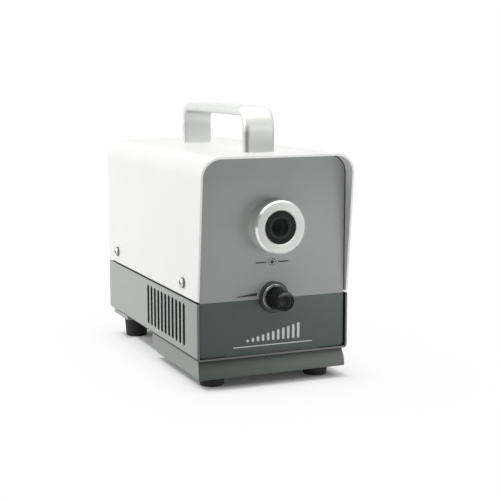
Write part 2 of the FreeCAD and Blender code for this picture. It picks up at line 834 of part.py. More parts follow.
def handle_screws():
    seat = cover_top - sheet - washer
    length = washer + sheet + handle_thread_depth - tip_gap
    screw = pointing(pan_screw(m5_r, m5_head_r, m5_head, length), (0, 0, -1))
    return [moved(screw, 0, y, seat) for y in handle_screw_y()]


# ---------------------------------------------------------------- light port
def nose_ring():
    bore = socket_r + seat_gap
    lip = nose_inner_chamfer
    return turned_y([(bore + lip, nose_face), (nose_r - nose_chamfer, nose_face),
                     (nose_r, nose_face + nose_chamfer), (nose_r, film_front), (tail_r, film_front),
                     (tail_r, tail_end), (bore, tail_end), (bore, nose_face + lip)], 0, port_z)


def light_port_socket():
    return turned_y([(port_bore_r + socket_lead_in, socket_face), (socket_r - socket_edge, socket_face),
                     (socket_r, socket_face + socket_edge), (socket_r, socket_end), (port_bore_r, socket_end),
                     (port_bore_r, socket_face + socket_lead_in)], 0, port_z)


def port_lock_nut():
    nut = turned_y([(tail_r + seat_gap, panel_back), (port_nut_r, panel_back),
                    (port_nut_r, panel_back + port_nut_thickness),
                    (tail_r + seat_gap, panel_back + port_nut_thickness)], 0, port_z)
    half = port_nut_notch / 2
    notch = box(-half, half, panel_back + port_nut_thickness / 2, panel_back + port_nut_thickness + overcut,
                -port_nut_r - overcut, port_nut_r + overcut)
    return nut.cut(moved(notch, z=port_z))


# ---------------------------------------------------------------- optics and cooling
def barrel_screw_places():
    half = barrel_flange / 2 - m3_head_r - head_edge_gap
    return [(sx * half, port_z + sz * half) for sx in (-1, 1) for sz in (-1, 1)]


def lens_barrel():
    cavity_r = lens_r + seat_gap
    mouth_r = port_bore_r + barrel_mouth_step
    tube = turned_y([(mouth_r, socket_end), (barrel_r, socket_end), (barrel_r, barrel_end),
                     (cavity_r, barrel_end), (cavity_r, socket_end + barrel_mouth),
                     (mouth_r, socket_end + barrel_mouth)], 0, port_z)
    flange = square_plate_y(barrel_flange, barrel_flange_corner, barrel_end - barrel_flange_thickness,
                            barrel_end, port_z)
    flange = flange.cut(rod_y(cavity_r, barrel_end - barrel_length, barrel_end + overcut, 0, port_z))
    holes = [drill_y(m3_r + hole_gap, barrel_end - barrel_flange_thickness, barrel_end, x, z)
             for x, z in barrel_screw_places()]
    return cut_all(tube.fuse(flange), holes).removeSplitter()


def condenser_lens():
    front = socket_end + barrel_mouth
    edge_back = front + lens_edge
    dome_r = lens_r - lens_rim
    ball_r = (dome_r ** 2 + lens_dome ** 2) / (2 * lens_dome)
    plate = rod_y(lens_r, front, edge_back, 0, port_z)
    ball = Part.makeSphere(ball_r, Vector(0, edge_back + lens_dome - ball_r, port_z))
    return plate.fuse(ball.common(rod_y(lens_r, edge_back, edge_back + lens_dome, 0, port_z)))


def lens_retaining_ring():
    front = socket_end + barrel_mouth + lens_edge
    ring = rod_y(lens_r, front, front + retainer_thickness, 0, port_z)
    return ring.cut(drill_y(lens_r - lens_rim + slip_gap, front, front + retainer_thickness, 0, port_z))


def led_board():
    front = barrel_end - led_board_thickness
    star = rod_y(led_board_r, front, barrel_end, 0, port_z)
    for i in range(led_board_notches):
        angle = 2 * math.pi * i / led_board_notches
        x = led_board_r * math.cos(angle)
        z = port_z + led_board_r * math.sin(angle)
        star = star.cut(drill_y(led_board_notch_r, front, barrel_end, x, z))
    return star


def led_emitter():
    back = barrel_end - led_board_thickness
    front = back - led_height
    half = led_side / 2
    package = box(-half, half, front, back, port_z - half, port_z + half)
    dome = Part.makeSphere(led_dome_r, Vector(0, front, port_z))
    return package.fuse(dome.common(box(-half, half, front - led_dome_r, front + led_height / 2,
                                        port_z - half, port_z + half)))


def barrel_screws():
    seat = barrel_end - barrel_flange_thickness
    length = barrel_flange_thickness + heat_sink_base - sink_screw_gap
    screw = pointing(pan_screw(m3_r, m3_head_r, m3_head, length), (0, -1, 0))
    return [moved(screw, x, seat, z) for x, z in barrel_screw_places()]


def heat_sink():
    half = heat_sink_side / 2
    sink = box(-half, half, barrel_end, sink_back, port_z - half, port_z + half)
    pitch = (heat_sink_side - fin_thickness) / (fin_count - 1)
    for i in range(fin_count):
        x = -half + i * pitch
        sink = sink.fuse(box(x, x + fin_thickness, sink_back - overlap, sink_back + fin_depth,
                             port_z - half, port_z + half))
    places = barrel_screw_places() + [(x, bracket_sink_z()) for x in bracket_sink_x()]
    holes = [drill_y(m3_r + thread_gap, barrel_end, sink_back, x, z) for x, z in places]
    return cut_all(sink, holes).removeSplitter()


def bracket_top():
    return port_z - barrel_flange / 2 - bracket_gap


def bracket_sink_z():
    sink_bottom = port_z - heat_sink_side / 2
    return (sink_bottom + bracket_top()) / 2


def bracket_sink_x():
    reach = bracket_width / 2 - bracket_screw_inset
    return [-reach, reach]


def bracket_screw_places():
    y = barrel_end - (bracket_foot + bracket_sheet) / 2
    return [(x, y) for x in bracket_sink_x()]


def engine_bracket():
    half = bracket_width / 2
    wall = box(-half, half, barrel_end - bracket_sheet, barrel_end, tray_floor, bracket_top())
    foot = box(-half, half, barrel_end - bracket_foot, barrel_end, tray_floor, tray_floor + bracket_sheet)
    low = board_top + inductor_height + wire_room
    high = bracket_sink_z() - bracket_window_margin
    reach = half - bracket_window_inset
    r = bracket_window_r
    window = prism_y([(-reach, low, r), (reach, low, r), (reach, high, r), (-reach, high, r)],
                     barrel_end - bracket_sheet - overcut, barrel_end + overcut)
    tools = [window]
    for x, y in bracket_screw_places():
        tools.append(drill_z(m3_r + hole_gap, tray_floor, tray_floor + bracket_sheet, x, y))
    for x in bracket_sink_x():
        tools.append(drill_y(m3_r + hole_gap, barrel_end - bracket_sheet, barrel_end, x,
                           bracket_sink_z()))
    return cut_all(wall.fuse(foot), tools).removeSplitter()


def bracket_screws():
    seat = tray_floor + bracket_sheet
    down = pan_screw(m3_r, m3_head_r, m3_head, seat - tray_underside)
    screws = [moved(down, x, y, seat) for x, y in bracket_screw_places()]
    length = bracket_sheet + heat_sink_base - sink_screw_gap
    forward = pointing(pan_screw(m3_r, m3_head_r, m3_head, length), (0, -1, 0))
    for x in bracket_sink_x():
        screws.append(moved(forward, x, barrel_end - bracket_sheet, bracket_sink_z()))
    return screws


# ---------------------------------------------------------------- fan
def fan_screw_places():
    half = fan_hole_pitch / 2
    return [(sx * half, port_z + sz * half) for sx in (-1, 1) for sz in (-1, 1)]


def fan_frame():
    """Square frame with a round duct, and a motor plate with its bearing tube on struts at the front."""
    frame = square_plate_y(fan_size, fan_corner, fan_front, rear_inner, port_z)
    frame = frame.cut(drill_y(fan_bore_r, fan_front, rear_inner, 0, port_z))
    frame = frame.fuse(rod_y(fan_motor_r + fan_plate_rim, fan_front, fan_strut_back, 0, port_z))
    half = fan_strut_width / 2
    for i in range(fan_strut_count):
        arm = box(0, fan_bore_r + overlap, fan_front, fan_strut_back, -half, half)
        arm.rotate(Vector(0, 0, 0), Vector(0, 1, 0), 30 + 360 * i / fan_strut_count)
        frame = frame.fuse(moved(arm, z=port_z))
    frame = frame.fuse(rod_y(fan_tube_r, fan_front, fan_tube_back, 0, port_z))
    bearing = rod_y(fan_shaft_r + running_gap, fan_front + fan_strut / 2, rear_inner, 0, port_z)
    holes = [drill_y(m3_r + hole_gap, fan_front, rear_inner, x, z) for x, z in fan_screw_places()]
    return cut_all(frame, [bearing] + holes).removeSplitter()


def fan_coil():
    """Stator winding round the bearing tube."""
    back = fan_tube_back - tip_gap
    coil = rod_y(fan_coil_r, fan_strut_back, back, 0, port_z)
    return coil.cut(drill_y(fan_tube_r, fan_strut_back, back, 0, port_z))


def fan_rotor():
    """Hub cup that closes towards the rear, with its shaft and twisted-on blades."""
    front = fan_strut_back + fan_cup_front_gap
    back = rear_inner - fan_cup_rear_gap
    rotor = rod_y(fan_hub_r, front, back, 0, port_z)
    rotor = rotor.cut(rod_y(fan_hub_r - fan_cup_wall, front - overcut, back - fan_cup_wall, 0, port_z))
    rotor = rotor.fuse(rod_y(fan_shaft_r, fan_strut_back, back - fan_cup_wall / 2, 0, port_z))
    tip = fan_bore_r - fan_tip_gap
    half_chord = (back - front) / 2 / math.cos(math.radians(blade_pitch_deg)) - overlap
    band = rod_y(tip, front, back).cut(drill_y(fan_hub_r - overlap, front, back))
    half = blade_thickness / 2
    for i in range(blade_count):
        blade = box(-half, half, -half_chord, half_chord, fan_hub_r - overlap, tip + overcut)
        blade.rotate(Vector(0, 0, 0), Vector(0, 0, 1), blade_pitch_deg)
        blade = moved(blade, y=(front + back) / 2).common(band)
        blade.rotate(Vector(0, 0, 0), Vector(0, 1, 0), 360 * i / blade_count)
        rotor = rotor.fuse(moved(blade, z=port_z))
    return rotor.removeSplitter()


def fan_guard():
    """Spokes with a flat eye at each outer end, and wire rings welded on their rear side."""
    spoke_y = rear_face + guard_wire_r
    ring_y = spoke_y + guard_ring_step
    outer = fan_bore_r - 2 * guard_wire_r
    axis = Vector(0, 1, 0)
    inner = outer / guard_rings - guard_wire_r
    hole_r = m3_r + hole_gap
    spokes = []
    for x, z in fan_screw_places():
        outward = Vector(x, 0, z - port_z)
        length = outward.Length - hole_r - guard_eye_rim / 2 - inner
        outward.normalize()
        start = Vector(0, spoke_y, port_z) + outward * inner
        spokes.append(Part.makeCylinder(guard_wire_r, length, start, outward))
        spokes.append(rod_y(hole_r + guard_eye_rim, rear_face, rear_face + 2 * guard_wire_r, x, z))
    rings = [Part.makeTorus(outer * (i + 1) / guard_rings, guard_wire_r, Vector(0, ring_y, port_z), axis)
             for i in range(guard_rings)]
    guard = rings[0].multiFuse(rings[1:] + spokes)
    holes = [drill_y(hole_r, rear_face, rear_face + 2 * guard_wire_r, x, z) for x, z in fan_screw_places()]
    return cut_all(guard, holes)


def fan_screws():
    seat = rear_face + 2 * guard_wire_r
    screw = pointing(pan_screw(m3_r, m3_head_r, m3_head, seat - fan_front - tip_gap), (0, 1, 0))
    return [moved(screw, x, seat, z) for x, z in fan_screw_places()]


# ---------------------------------------------------------------- mains inlet
def inlet_screw_x():
    return [inlet_x - inlet_screw_pitch / 2, inlet_x + inlet_screw_pitch / 2]


def inlet_blade_places():
    z = inlet_z + socket_rise - earth_offset / 2
    return [(inlet_x - line_pitch / 2, z), (inlet_x, z + earth_offset), (inlet_x + line_pitch / 2, z)]


def inlet_pins():
    floor = inlet_face - socket_depth
    return [box(x - blade_width / 2, x + blade_width / 2, inlet_back - blade_tail, floor + blade_length,
                z - blade_height / 2, z + blade_height / 2) for x, z in inlet_blade_places()]


def power_inlet():
    """Flanged housing with the socket above and the fuse drawer's channel below."""
    half = inlet_flange_width / 2
    tall = inlet_flange_height / 2
    neck = half - inlet_ear_width
    right = [(neck, -tall, inlet_corner_r), (half, -inlet_ear_half, inlet_ear_r),
             (half, inlet_ear_half, inlet_ear_r), (neck, tall, inlet_corner_r)]
    left = [(-x, z, r) for x, z, r in reversed(right)]
    flange = prism_y([(inlet_x + x, inlet_z + z, r) for x, z, r in right + left], rear_face, inlet_face)
    body = box(inlet_x - inlet_body_width / 2, inlet_x + inlet_body_width / 2, inlet_back,
               rear_face + overlap, inlet_z - inlet_body_height / 2, inlet_z + inlet_body_height / 2)
    w = socket_width / 2
    low = inlet_z + socket_rise - socket_height / 2
    high = low + socket_height
    right = [(w, low), (w, high - socket_corner), (w - socket_corner, high)]
    left = [(-x, z) for x, z in reversed(right)]
    cavity = prism_y([(inlet_x + x, z, socket_corner_r) for x, z in right + left],
                     inlet_face - socket_depth, inlet_face + overcut)
    w = drawer_width / 2 + drawer_gap
    h = drawer_height / 2 + drawer_gap
    channel = box(inlet_x - w, inlet_x + w, inlet_face - drawer_depth - drawer_gap, inlet_face + overcut,
                  drawer_z - h, drawer_z + h)
    holes = [drill_y(m3_r + hole_gap, rear_face, inlet_face, x, inlet_z) for x in inlet_screw_x()]
    return cut_all(flange.fuse(body), [cavity, channel] + inlet_pins() + holes).removeSplitter()


def inlet_screws():
    screw = pointing(pan_screw(m3_r, m3_head_r, m3_head, inlet_flange_thickness + sheet), (0, 1, 0))
    return [moved(screw, x, inlet_face, inlet_z) for x in inlet_screw_x()]


def fuse_places():
    return [inlet_x - drawer_width / 4, inlet_x + drawer_width / 4]


def fuse_drawer():
    """Tray for two fuses, open on top, with a front that overlaps the flange round it."""
    half = drawer_width / 2
    tall = drawer_height / 2
    drawer = box(inlet_x - half, inlet_x + half, drawer_back, inlet_face + drawer_gap + overlap,
                 drawer_z - tall, drawer_z + tall)
    w = half + drawer_front_rim
    h = tall + drawer_front_rise
    front = prism_y([(inlet_x + sx * w, drawer_z + sz * h, drawer_front_r)
                     for sx, sz in ((-1, -1), (1, -1), (1, 1), (-1, 1))],
                    inlet_face + drawer_gap, inlet_face + drawer_lip)
    drawer = drawer.fuse(front)
    start = drawer_back + drawer_end_wall
    end = start + fuse_length + 2 * fuse_end_gap
    r = fuse_r + seat_gap
    for x in fuse_places():
        drawer = drawer.cut(rod_y(r, start, end, x, drawer_z))
        drawer = drawer.cut(box(x - r, x + r, start, end, drawer_z, drawer_z + tall + overcut))
    w = drawer_notch_width / 2
    face = inlet_face + drawer_lip
    notch = box(inlet_x - w, inlet_x + w, face - drawer_notch, face + overcut,
                drawer_z - h - overcut, drawer_z - h + 2 * drawer_notch)
    return drawer.cut(notch)


def fuses():
    """Glass tubes with metal caps."""
    start = drawer_back + drawer_end_wall + fuse_end_gap
    end = start + fuse_length
    made = []
    for x in fuse_places():
        fuse = rod_y(fuse_glass_r, start, end, x, drawer_z)
        fuse = fuse.fuse(rod_y(fuse_r, start, start + fuse_cap, x, drawer_z))
        made.append(fuse.fuse(rod_y(fuse_r, end - fuse_cap, end, x, drawer_z)))
    return made


# ---------------------------------------------------------------- rocker switch
def switch_housing():
    w = switch_bezel_width / 2
    h = switch_bezel_height / 2
    bezel = prism_y([(switch_x + sx * w, switch_z + sz * h, switch_bezel_r)
                     for sx, sz in ((-1, -1), (1, -1), (1, 1), (-1, 1))], rear_face, switch_face)
    body = box(switch_x - switch_body_width / 2, switch_x + switch_body_width / 2, switch_back,
               rear_face + overlap, switch_z - switch_body_height / 2, switch_z + switch_body_height / 2)
    w = rocker_bay_half_width
    h = rocker_half_length + rocker_end_gap
    bay = box(switch_x - w, switch_x + w, rocker_y - rocker_foot - rocker_end_gap - rocker_gap,
              switch_face + overcut, switch_z - h, switch_z + h)
    w = rocker_bay_half_width + trunnion_reach + rocker_gap
    hole = rod_x(trunnion_r + running_gap, switch_x - w, switch_x + w, rocker_y, switch_z)
    return cut_all(bezel.fuse(body), [bay, hole] + switch_terminals()).removeSplitter()


def switch_terminals():
    w = terminal_width / 2
    t = terminal_thickness / 2
    return [box(switch_x - w, switch_x + w, switch_back - terminal_reach, switch_back + terminal_root,
                switch_z - drop - t, switch_z - drop + t) for drop in terminal_drops]


def switch_rocker():
    """Rocker on two trunnions, resting with one end pressed in."""
    w = rocker_width / 2
    crest = rocker_y + rocker_crest
    end = switch_z + rocker_half_length
    foot = switch_z + rocker_foot_half
    upper = [(rocker_y + rocker_edge_r, end, rocker_edge_r), (rocker_y - rocker_foot, foot, rocker_foot_r)]
    lower = [(y, 2 * switch_z - z, r) for y, z, r in reversed(upper)]
    outer = [(crest, 2 * switch_z - end, rocker_edge_r),
             (rocker_y + rocker_saddle, switch_z, rocker_saddle_r), (crest, end, rocker_edge_r)]
    rocker = prism_x(outer + upper + lower, switch_x - w, switch_x + w)
    reach = rocker_bay_half_width + trunnion_reach
    rocker = rocker.fuse(rod_x(trunnion_r, switch_x - reach, switch_x + reach, rocker_y, switch_z))
    rocker.rotate(Vector(switch_x, rocker_y, switch_z), Vector(1, 0, 0), rocker_tilt_deg)
    return rocker.removeSplitter()


# ---------------------------------------------------------------- knob and potentiometer
def knob_skirt():
    bore = knob_sleeve_r + seat_gap
    return turned_y([(bore, knob_back), (skirt_r - knob_edge, knob_back), (skirt_r, knob_back - knob_edge),
                     (skirt_r, skirt_front + skirt_bevel), (skirt_r - skirt_bevel, skirt_front),
                     (bore, skirt_front)], 0, knob_z)


def knob_ring():
    bore = knob_sleeve_r + seat_gap
    return turned_y([(bore, skirt_front), (knob_ring_r, skirt_front), (knob_base_r, ring_front),
                     (bore, ring_front)], 0, knob_z)


def flute(angle):
    x = math.cos(angle)
    z = math.sin(angle)
    base_r = knob_base_r + flute_rise
    tip_r = knob_face_r + flute_rise
    base = Vector(x * base_r, ring_front - flute_start, knob_z + z * base_r)
    tip = Vector(x * tip_r, grip_front - overcut, knob_z + z * tip_r)
    return Part.makeCylinder(flute_r, (tip - base).Length, base, tip - base)


def knob_body():
    """Tapered fluted grip, hollow behind, with a sleeve that carries the ring and the skirt."""
    sleeve_end = knob_back - knob_sleeve_gap
    grip = turned_y([(0, grip_front), (knob_face_r - knob_rim_in, grip_front),
                     (knob_face_r, grip_front + knob_rim), (knob_base_r, ring_front),
                     (knob_sleeve_r, ring_front), (knob_sleeve_r, sleeve_end), (0, sleeve_end)], 0, knob_z)
    tools = [flute(2 * math.pi * i / flute_count) for i in range(flute_count)]
    tools.append(rod_y(knob_hollow_r, ring_front, sleeve_end + overcut, 0, knob_z))
    tools.append(rod_y(shaft_r + seat_gap, shaft_end - slip_gap, sleeve_end, 0, knob_z))
    tools.append(rod_y(knob_cap_r + seat_gap, grip_front - overcut, grip_front + knob_cap_depth, 0, knob_z))
    tools.append(rod_x(m3_r + thread_gap, 0, knob_base_r + overcut, set_screw_y, knob_z))
    return cut_all(grip, tools).removeSplitter()


def knob_set_screw():
    start = shaft_r + seat_gap
    end = start + set_screw_length
    half = set_screw_slot_width / 2
    slot = box(end - set_screw_slot, end + overcut, set_screw_y - half, set_screw_y + half,
               knob_z - m3_r - overcut, knob_z + m3_r + overcut)
    return rod_x(m3_r, start, end, set_screw_y, knob_z).cut(slot)


def knob_cap():
    """Disc let into the grip's front, with a shallow dish."""
    back = grip_front + knob_cap_depth
    rim = grip_front + knob_cap_inset
    disc = turned_y([(0, back), (knob_cap_r, back), (knob_cap_r, rim + knob_cap_bevel),
                     (knob_cap_r - knob_cap_bevel, rim), (0, rim)], 0, knob_z)
    return disc.cut(Part.makeSphere(knob_dish_r, Vector(0, rim + knob_dish - knob_dish_r, knob_z)))


def pot_body():
    """Potentiometer with a threaded bushing through the panel and three lugs below."""
    bushing_front = film_front - pot_nut_thickness - pot_bushing_proud
    back = panel_back + pot_depth
    pot = rod_y(pot_r, panel_back, back, 0, knob_z)
    pot = pot.fuse(rod_y(pot_bushing_r, bushing_front, panel_back + overlap, 0, knob_z))
    lug_front = panel_back + pot_lug_setback
    half = pot_lug_width / 2
    for i in (-1, 0, 1):
        x = i * pot_lug_pitch
        pot = pot.fuse(box(x - half, x + half, lug_front, lug_front + pot_lug_thickness,
                           knob_z - pot_r - pot_lug_reach, knob_z - pot_r / 2))
    bore = rod_y(shaft_r + running_gap, bushing_front - overcut, back - pot_back_wall, 0, knob_z)
    return pot.cut(bore).removeSplitter()


def pot_nut():
    nut = moved(pointing(prism_z(hexagon(pot_nut_across), 0, pot_nut_thickness), (0, -1, 0)),
                y=film_front, z=knob_z)
    return nut.cut(drill_y(pot_bushing_r + thread_gap, film_front - pot_nut_thickness, film_front, 0, knob_z))


def pot_shaft():
    return rod_y(shaft_r, shaft_end, panel_back + pot_depth - pot_back_wall - slip_gap, 0, knob_z)


# ---------------------------------------------------------------- boards
def board_corners(front, length, width):
    return [(sx * (width / 2 - board_edge), y) for y in (front + board_edge, front + length - board_edge)
            for sx in (-1, 1)]


def psu_corners():
    return board_corners(psu_front, psu_length, psu_width)


def driver_corners():
    return board_corners(driver_front, driver_length, driver_width)


def standoff_places():
    return psu_corners() + driver_corners()


def circuit_board(front, length, width, corners):
    plate = box(-width / 2, width / 2, front, front + length, board_bottom, board_top)
    return cut_all(plate, [drill_z(m3_r + hole_gap, board_bottom, board_top, x, y) for x, y in corners])


def standoffs(corners):
    made = []
    for x, y in corners:
        post = rod_z(standoff_r, tray_floor, board_bottom, x, y)
        post = post.fuse(rod_z(m3_r, tray_underside, tray_floor + overlap, x, y))
        thread = rod_z(m3_r + thread_gap, tray_floor + standoff_floor, board_bottom + overcut, x, y)
        made.append(post.cut(thread))
    return made


def board_screws(corners):
    length = board + standoff_height - standoff_floor - overlap
    return [moved(pan_screw(m3_r, m3_head_r, m3_head, length), x, y, board_top) for x, y in corners]


def transformer():
    """Laminated core with two windows."""
    half = transformer_width / 2
    deep = transformer_depth / 2
    x = transformer_x
    y = transformer_y
    top = board_top + transformer_height
    core = box(x - half, x + half, y - deep, y + deep, board_top, top)
    for sx in (-1, 1):
        x0, x1 = sorted((x + sx * transformer_limb / 2, x + sx * (half - transformer_limb)))
        core = core.cut(box(x0, x1, y - deep - overcut, y + deep + overcut, board_top + transformer_limb,
                            top - transformer_limb))
    return core


def transformer_coil():
    """Winding round the core's middle limb."""
    x = transformer_x
    y = transformer_y
    low = board_top + transformer_limb + winding_gap
    high = board_top + transformer_height - transformer_limb - winding_gap
    wide = transformer_width / 2 - transformer_limb - winding_gap
    deep = transformer_depth / 2 + winding_overhang
    coil = prism_z([(x + sx * wide, y + sy * deep, winding_r)
                    for sx, sy in ((-1, -1), (1, -1), (1, 1), (-1, 1))], low, high)
    limb = transformer_limb / 2 + winding_gap
    back = transformer_depth / 2 + winding_gap
    return coil.cut(box(x - limb, x + limb, y - back, y + back, low - overcut, high + overcut))


def capacitor(x, y, r, height):
    """Can with a rolled groove below its top."""
    top = board_top + height
    groove = board_top + height * cap_groove_rise
    waist = r - cap_groove
    return turned_z([(0, board_top), (r, board_top), (r, groove), (waist, groove + cap_groove_height / 2),
                     (r, groove + cap_groove_height), (r, top - cap_groove), (waist, top), (0, top)], x, y)


def bulk_capacitor():
    return capacitor(transformer_x, bulk_cap_y, bulk_cap_r, bulk_cap_height)


def output_capacitors():
    first = psu_front + output_cap_inset + output_cap_r
    return [capacitor(output_cap_x, first + i * output_cap_pitch, output_cap_r, output_cap_height)
            for i in range(output_cap_count)]


def psu_cooling_plate():
    """Upright plate folded over at its top."""
    x = output_cap_x - output_cap_r - cooling_plate_gap
    y0 = psu_front + cooling_plate_front_inset
    y1 = psu_rear - cooling_plate_rear_inset
    top = board_top + cooling_plate_height
    plate = box(x, x + cooling_plate_thickness, y0, y1, board_top, top)
    fold = box(x + cooling_plate_thickness - cooling_plate_fold, x + cooling_plate_thickness, y0, y1,
               top - cooling_plate_thickness, top)
    return plate.fuse(fold).removeSplitter()


def driver_inductor():
    y = driver_front + driver_length / 2
    ring = rod_z(inductor_r, board_top, board_top + inductor_height, 0, y)
    return ring.cut(drill_z(inductor_bore_r, board_top, board_top + inductor_height, 0, y))


def main():
    os.makedirs("parts", exist_ok=True)
    save("chassis_tray", chassis_tray())
    save("top_cover", top_cover())
    save("front_panel", front_panel())
    save("front_overlay", front_overlay())
    save("rear_panel", rear_panel())
    save("cover_screws", *cover_screws())
    save("panel_screws", *panel_screws())
    save("front_plinth", front_plinth())
    save("rear_foot_bar", rear_foot_bar())
    save("front_feet", *[rubber_foot(x, y, front_foot_height) for x, y in foot_places[:2]])
    rear_height = tray_underside - foot_bar_height
    save("rear_feet", *[rubber_foot(x, y, rear_height) for x, y in foot_places[2:]])
    save("foot_screws", *foot_screws())
    save("plinth_screws", *plinth_screws())
    save("base_nuts", *base_nuts())
    save("carry_handle", carry_handle())
    save("handle_washers", *handle_washers())
    save("handle_screws", *handle_screws())
    save("nose_ring", nose_ring())
    save("light_port_socket", light_port_socket())
    save("port_lock_nut", port_lock_nut())
    save("lens_barrel", lens_barrel())
    save("condenser_lens", condenser_lens())
    save("lens_retaining_ring", lens_retaining_ring())
    save("led_board", led_board())
    save("led_emitter", led_emitter())
    save("barrel_screws", *barrel_screws())
    save("heat_sink", heat_sink())
    save("engine_bracket", engine_bracket())
    save("bracket_screws", *bracket_screws())
    save("fan_frame", fan_frame())
    save("fan_coil", fan_coil())
    save("fan_rotor", fan_rotor())
    save("fan_guard", fan_guard())
    save("fan_screws", *fan_screws())
    save("power_inlet", power_inlet())
    save("inlet_pins", *inlet_pins())
    save("inlet_screws", *inlet_screws())
    save("fuse_drawer", fuse_drawer())
    save("fuses", *fuses())
    save("switch_housing", switch_housing())
    save("switch_rocker", switch_rocker())
    save("switch_terminals", *switch_terminals())
    save("knob_skirt", knob_skirt())
    save("knob_ring", knob_ring())
    save("knob_body", knob_body())
    save("knob_cap", knob_cap())
    save("knob_set_screw", knob_set_screw())
    save("pot_body", pot_body())
    save("pot_nut", pot_nut())
    save("pot_shaft", pot_shaft())
    save("psu_board", circuit_board(psu_front, psu_length, psu_width, psu_corners()))
    save("driver_board", circuit_board(driver_front, driver_length, driver_width, driver_corners()))
    save("board_standoffs", *standoffs(standoff_places()))
    save("board_screws", *board_screws(standoff_places()))
    save("transformer", transformer())
    save("transformer_coil", transformer_coil())
    save("bulk_capacitor", bulk_capacitor())
    save("output_capacitors", *output_capacitors())
    save("psu_cooling_plate", psu_cooling_plate())
    save("driver_inductor", driver_inductor())


main()
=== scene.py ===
import json
import math

import bmesh
import bpy
from mathutils import Matrix, Vector


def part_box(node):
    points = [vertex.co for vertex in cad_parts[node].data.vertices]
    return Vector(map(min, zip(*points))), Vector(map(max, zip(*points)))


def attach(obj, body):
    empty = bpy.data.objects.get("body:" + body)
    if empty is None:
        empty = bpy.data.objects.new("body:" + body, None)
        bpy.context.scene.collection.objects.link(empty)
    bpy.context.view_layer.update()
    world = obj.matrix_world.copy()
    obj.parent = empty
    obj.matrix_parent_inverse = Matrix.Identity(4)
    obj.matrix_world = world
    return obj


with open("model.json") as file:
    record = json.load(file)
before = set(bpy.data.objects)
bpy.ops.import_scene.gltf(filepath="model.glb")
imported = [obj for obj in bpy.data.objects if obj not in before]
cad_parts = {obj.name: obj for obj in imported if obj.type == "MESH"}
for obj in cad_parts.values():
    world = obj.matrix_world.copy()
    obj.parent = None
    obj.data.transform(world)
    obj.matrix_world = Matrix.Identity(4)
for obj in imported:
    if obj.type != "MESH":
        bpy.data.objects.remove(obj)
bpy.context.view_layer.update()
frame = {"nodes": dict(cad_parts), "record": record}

MM = 0.001


# ---------------------------------------------------------------- objects
def add_object(name, data):
    new = bpy.data.objects.new(name, data)
    bpy.context.scene.collection.objects.link(new)
    return new


def add_mesh(name, mesh, material):
    """Turns a bmesh into an object of one material."""
    data = bpy.data.meshes.new(name)
    mesh.to_mesh(data)
    mesh.free()
    data.materials.append(material)
    return add_object(name, data)


# ---------------------------------------------------------------- camera
# Long lens from the front left, a little above the port.
CAMERA_PLACE = Vector((-0.3521, -0.8777, 0.2319))
CAMERA_DOWN = math.radians(8.731)
CAMERA_TURN = math.radians(23.189)
CAMERA_LENS = 84.86


def make_camera():
    data = bpy.data.cameras.new("camera")
    data.lens = CAMERA_LENS
    camera = add_object("camera", data)
    camera.location = CAMERA_PLACE
    camera.rotation_euler = (math.pi / 2 - CAMERA_DOWN, 0, -CAMERA_TURN)
    bpy.context.scene.camera = camera


# ---------------------------------------------------------------- places read from the frame
def middle(node):
    low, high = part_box(node)
    return (low + high) / 2


PORT_AXIS = middle("nose_ring")
KNOB_AXIS = middle("knob_skirt")
NOSE_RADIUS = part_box("nose_ring")[1].z - PORT_AXIS.z
SOCKET_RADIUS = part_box("light_port_socket")[1].z - PORT_AXIS.z
KNOB_RING_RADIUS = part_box("knob_ring")[1].z - KNOB_AXIS.z
FILM_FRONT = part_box("front_overlay")[0].y
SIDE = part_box("chassis_tray")[1].x
TRAY_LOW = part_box("chassis_tray")[0].z
TRAY_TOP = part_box("chassis_tray")[1].z
COVER_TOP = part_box("top_cover")[1].z
ROCKER_PIVOT = next(
    joint["pos_m"] for joint in frame["record"]["behaviour"]["joints"]
    if joint["child"] == "rocker"
)

# Sizes of the part that its boxes don't give.
SHEET = 1.5 * MM
PORT_BORE = 6.5 * MM
COVER_CORNER = 15.0 * MM
PLINTH_LEAN = 3.5 * MM
ROCKER_REST = math.radians(10.0)
ROCKER_CREST = 4.0 * MM
ROCKER_SADDLE = 2.4 * MM
ROCKER_HALF_LENGTH = 7.6 * MM

# A mask's edge keeps off a face by this, or by a few times this.
SEAM = 0.02 * MM


# ---------------------------------------------------------------- node graphs
NOISE_LOW, NOISE_HIGH = 0.3, 0.7   # nearly all values of a noise lie between these
BEVEL_SAMPLES = 4


def add_node(tree, kind, inputs=None, **settings):
    """A node whose inputs are linked where they are given a socket, and set where a value."""
    node = tree.nodes.new(kind)
    for key, value in settings.items():
        setattr(node, key, value)
    for key, value in (inputs or {}).items():
        if isinstance(value, bpy.types.NodeSocket):
            tree.links.new(value, node.inputs[key])
        else:
            node.inputs[key].default_value = value
    return node


def tinted(colour, factor=1.0):
    return tuple(min(1.0, channel * factor) for channel in colour) + (1.0,)


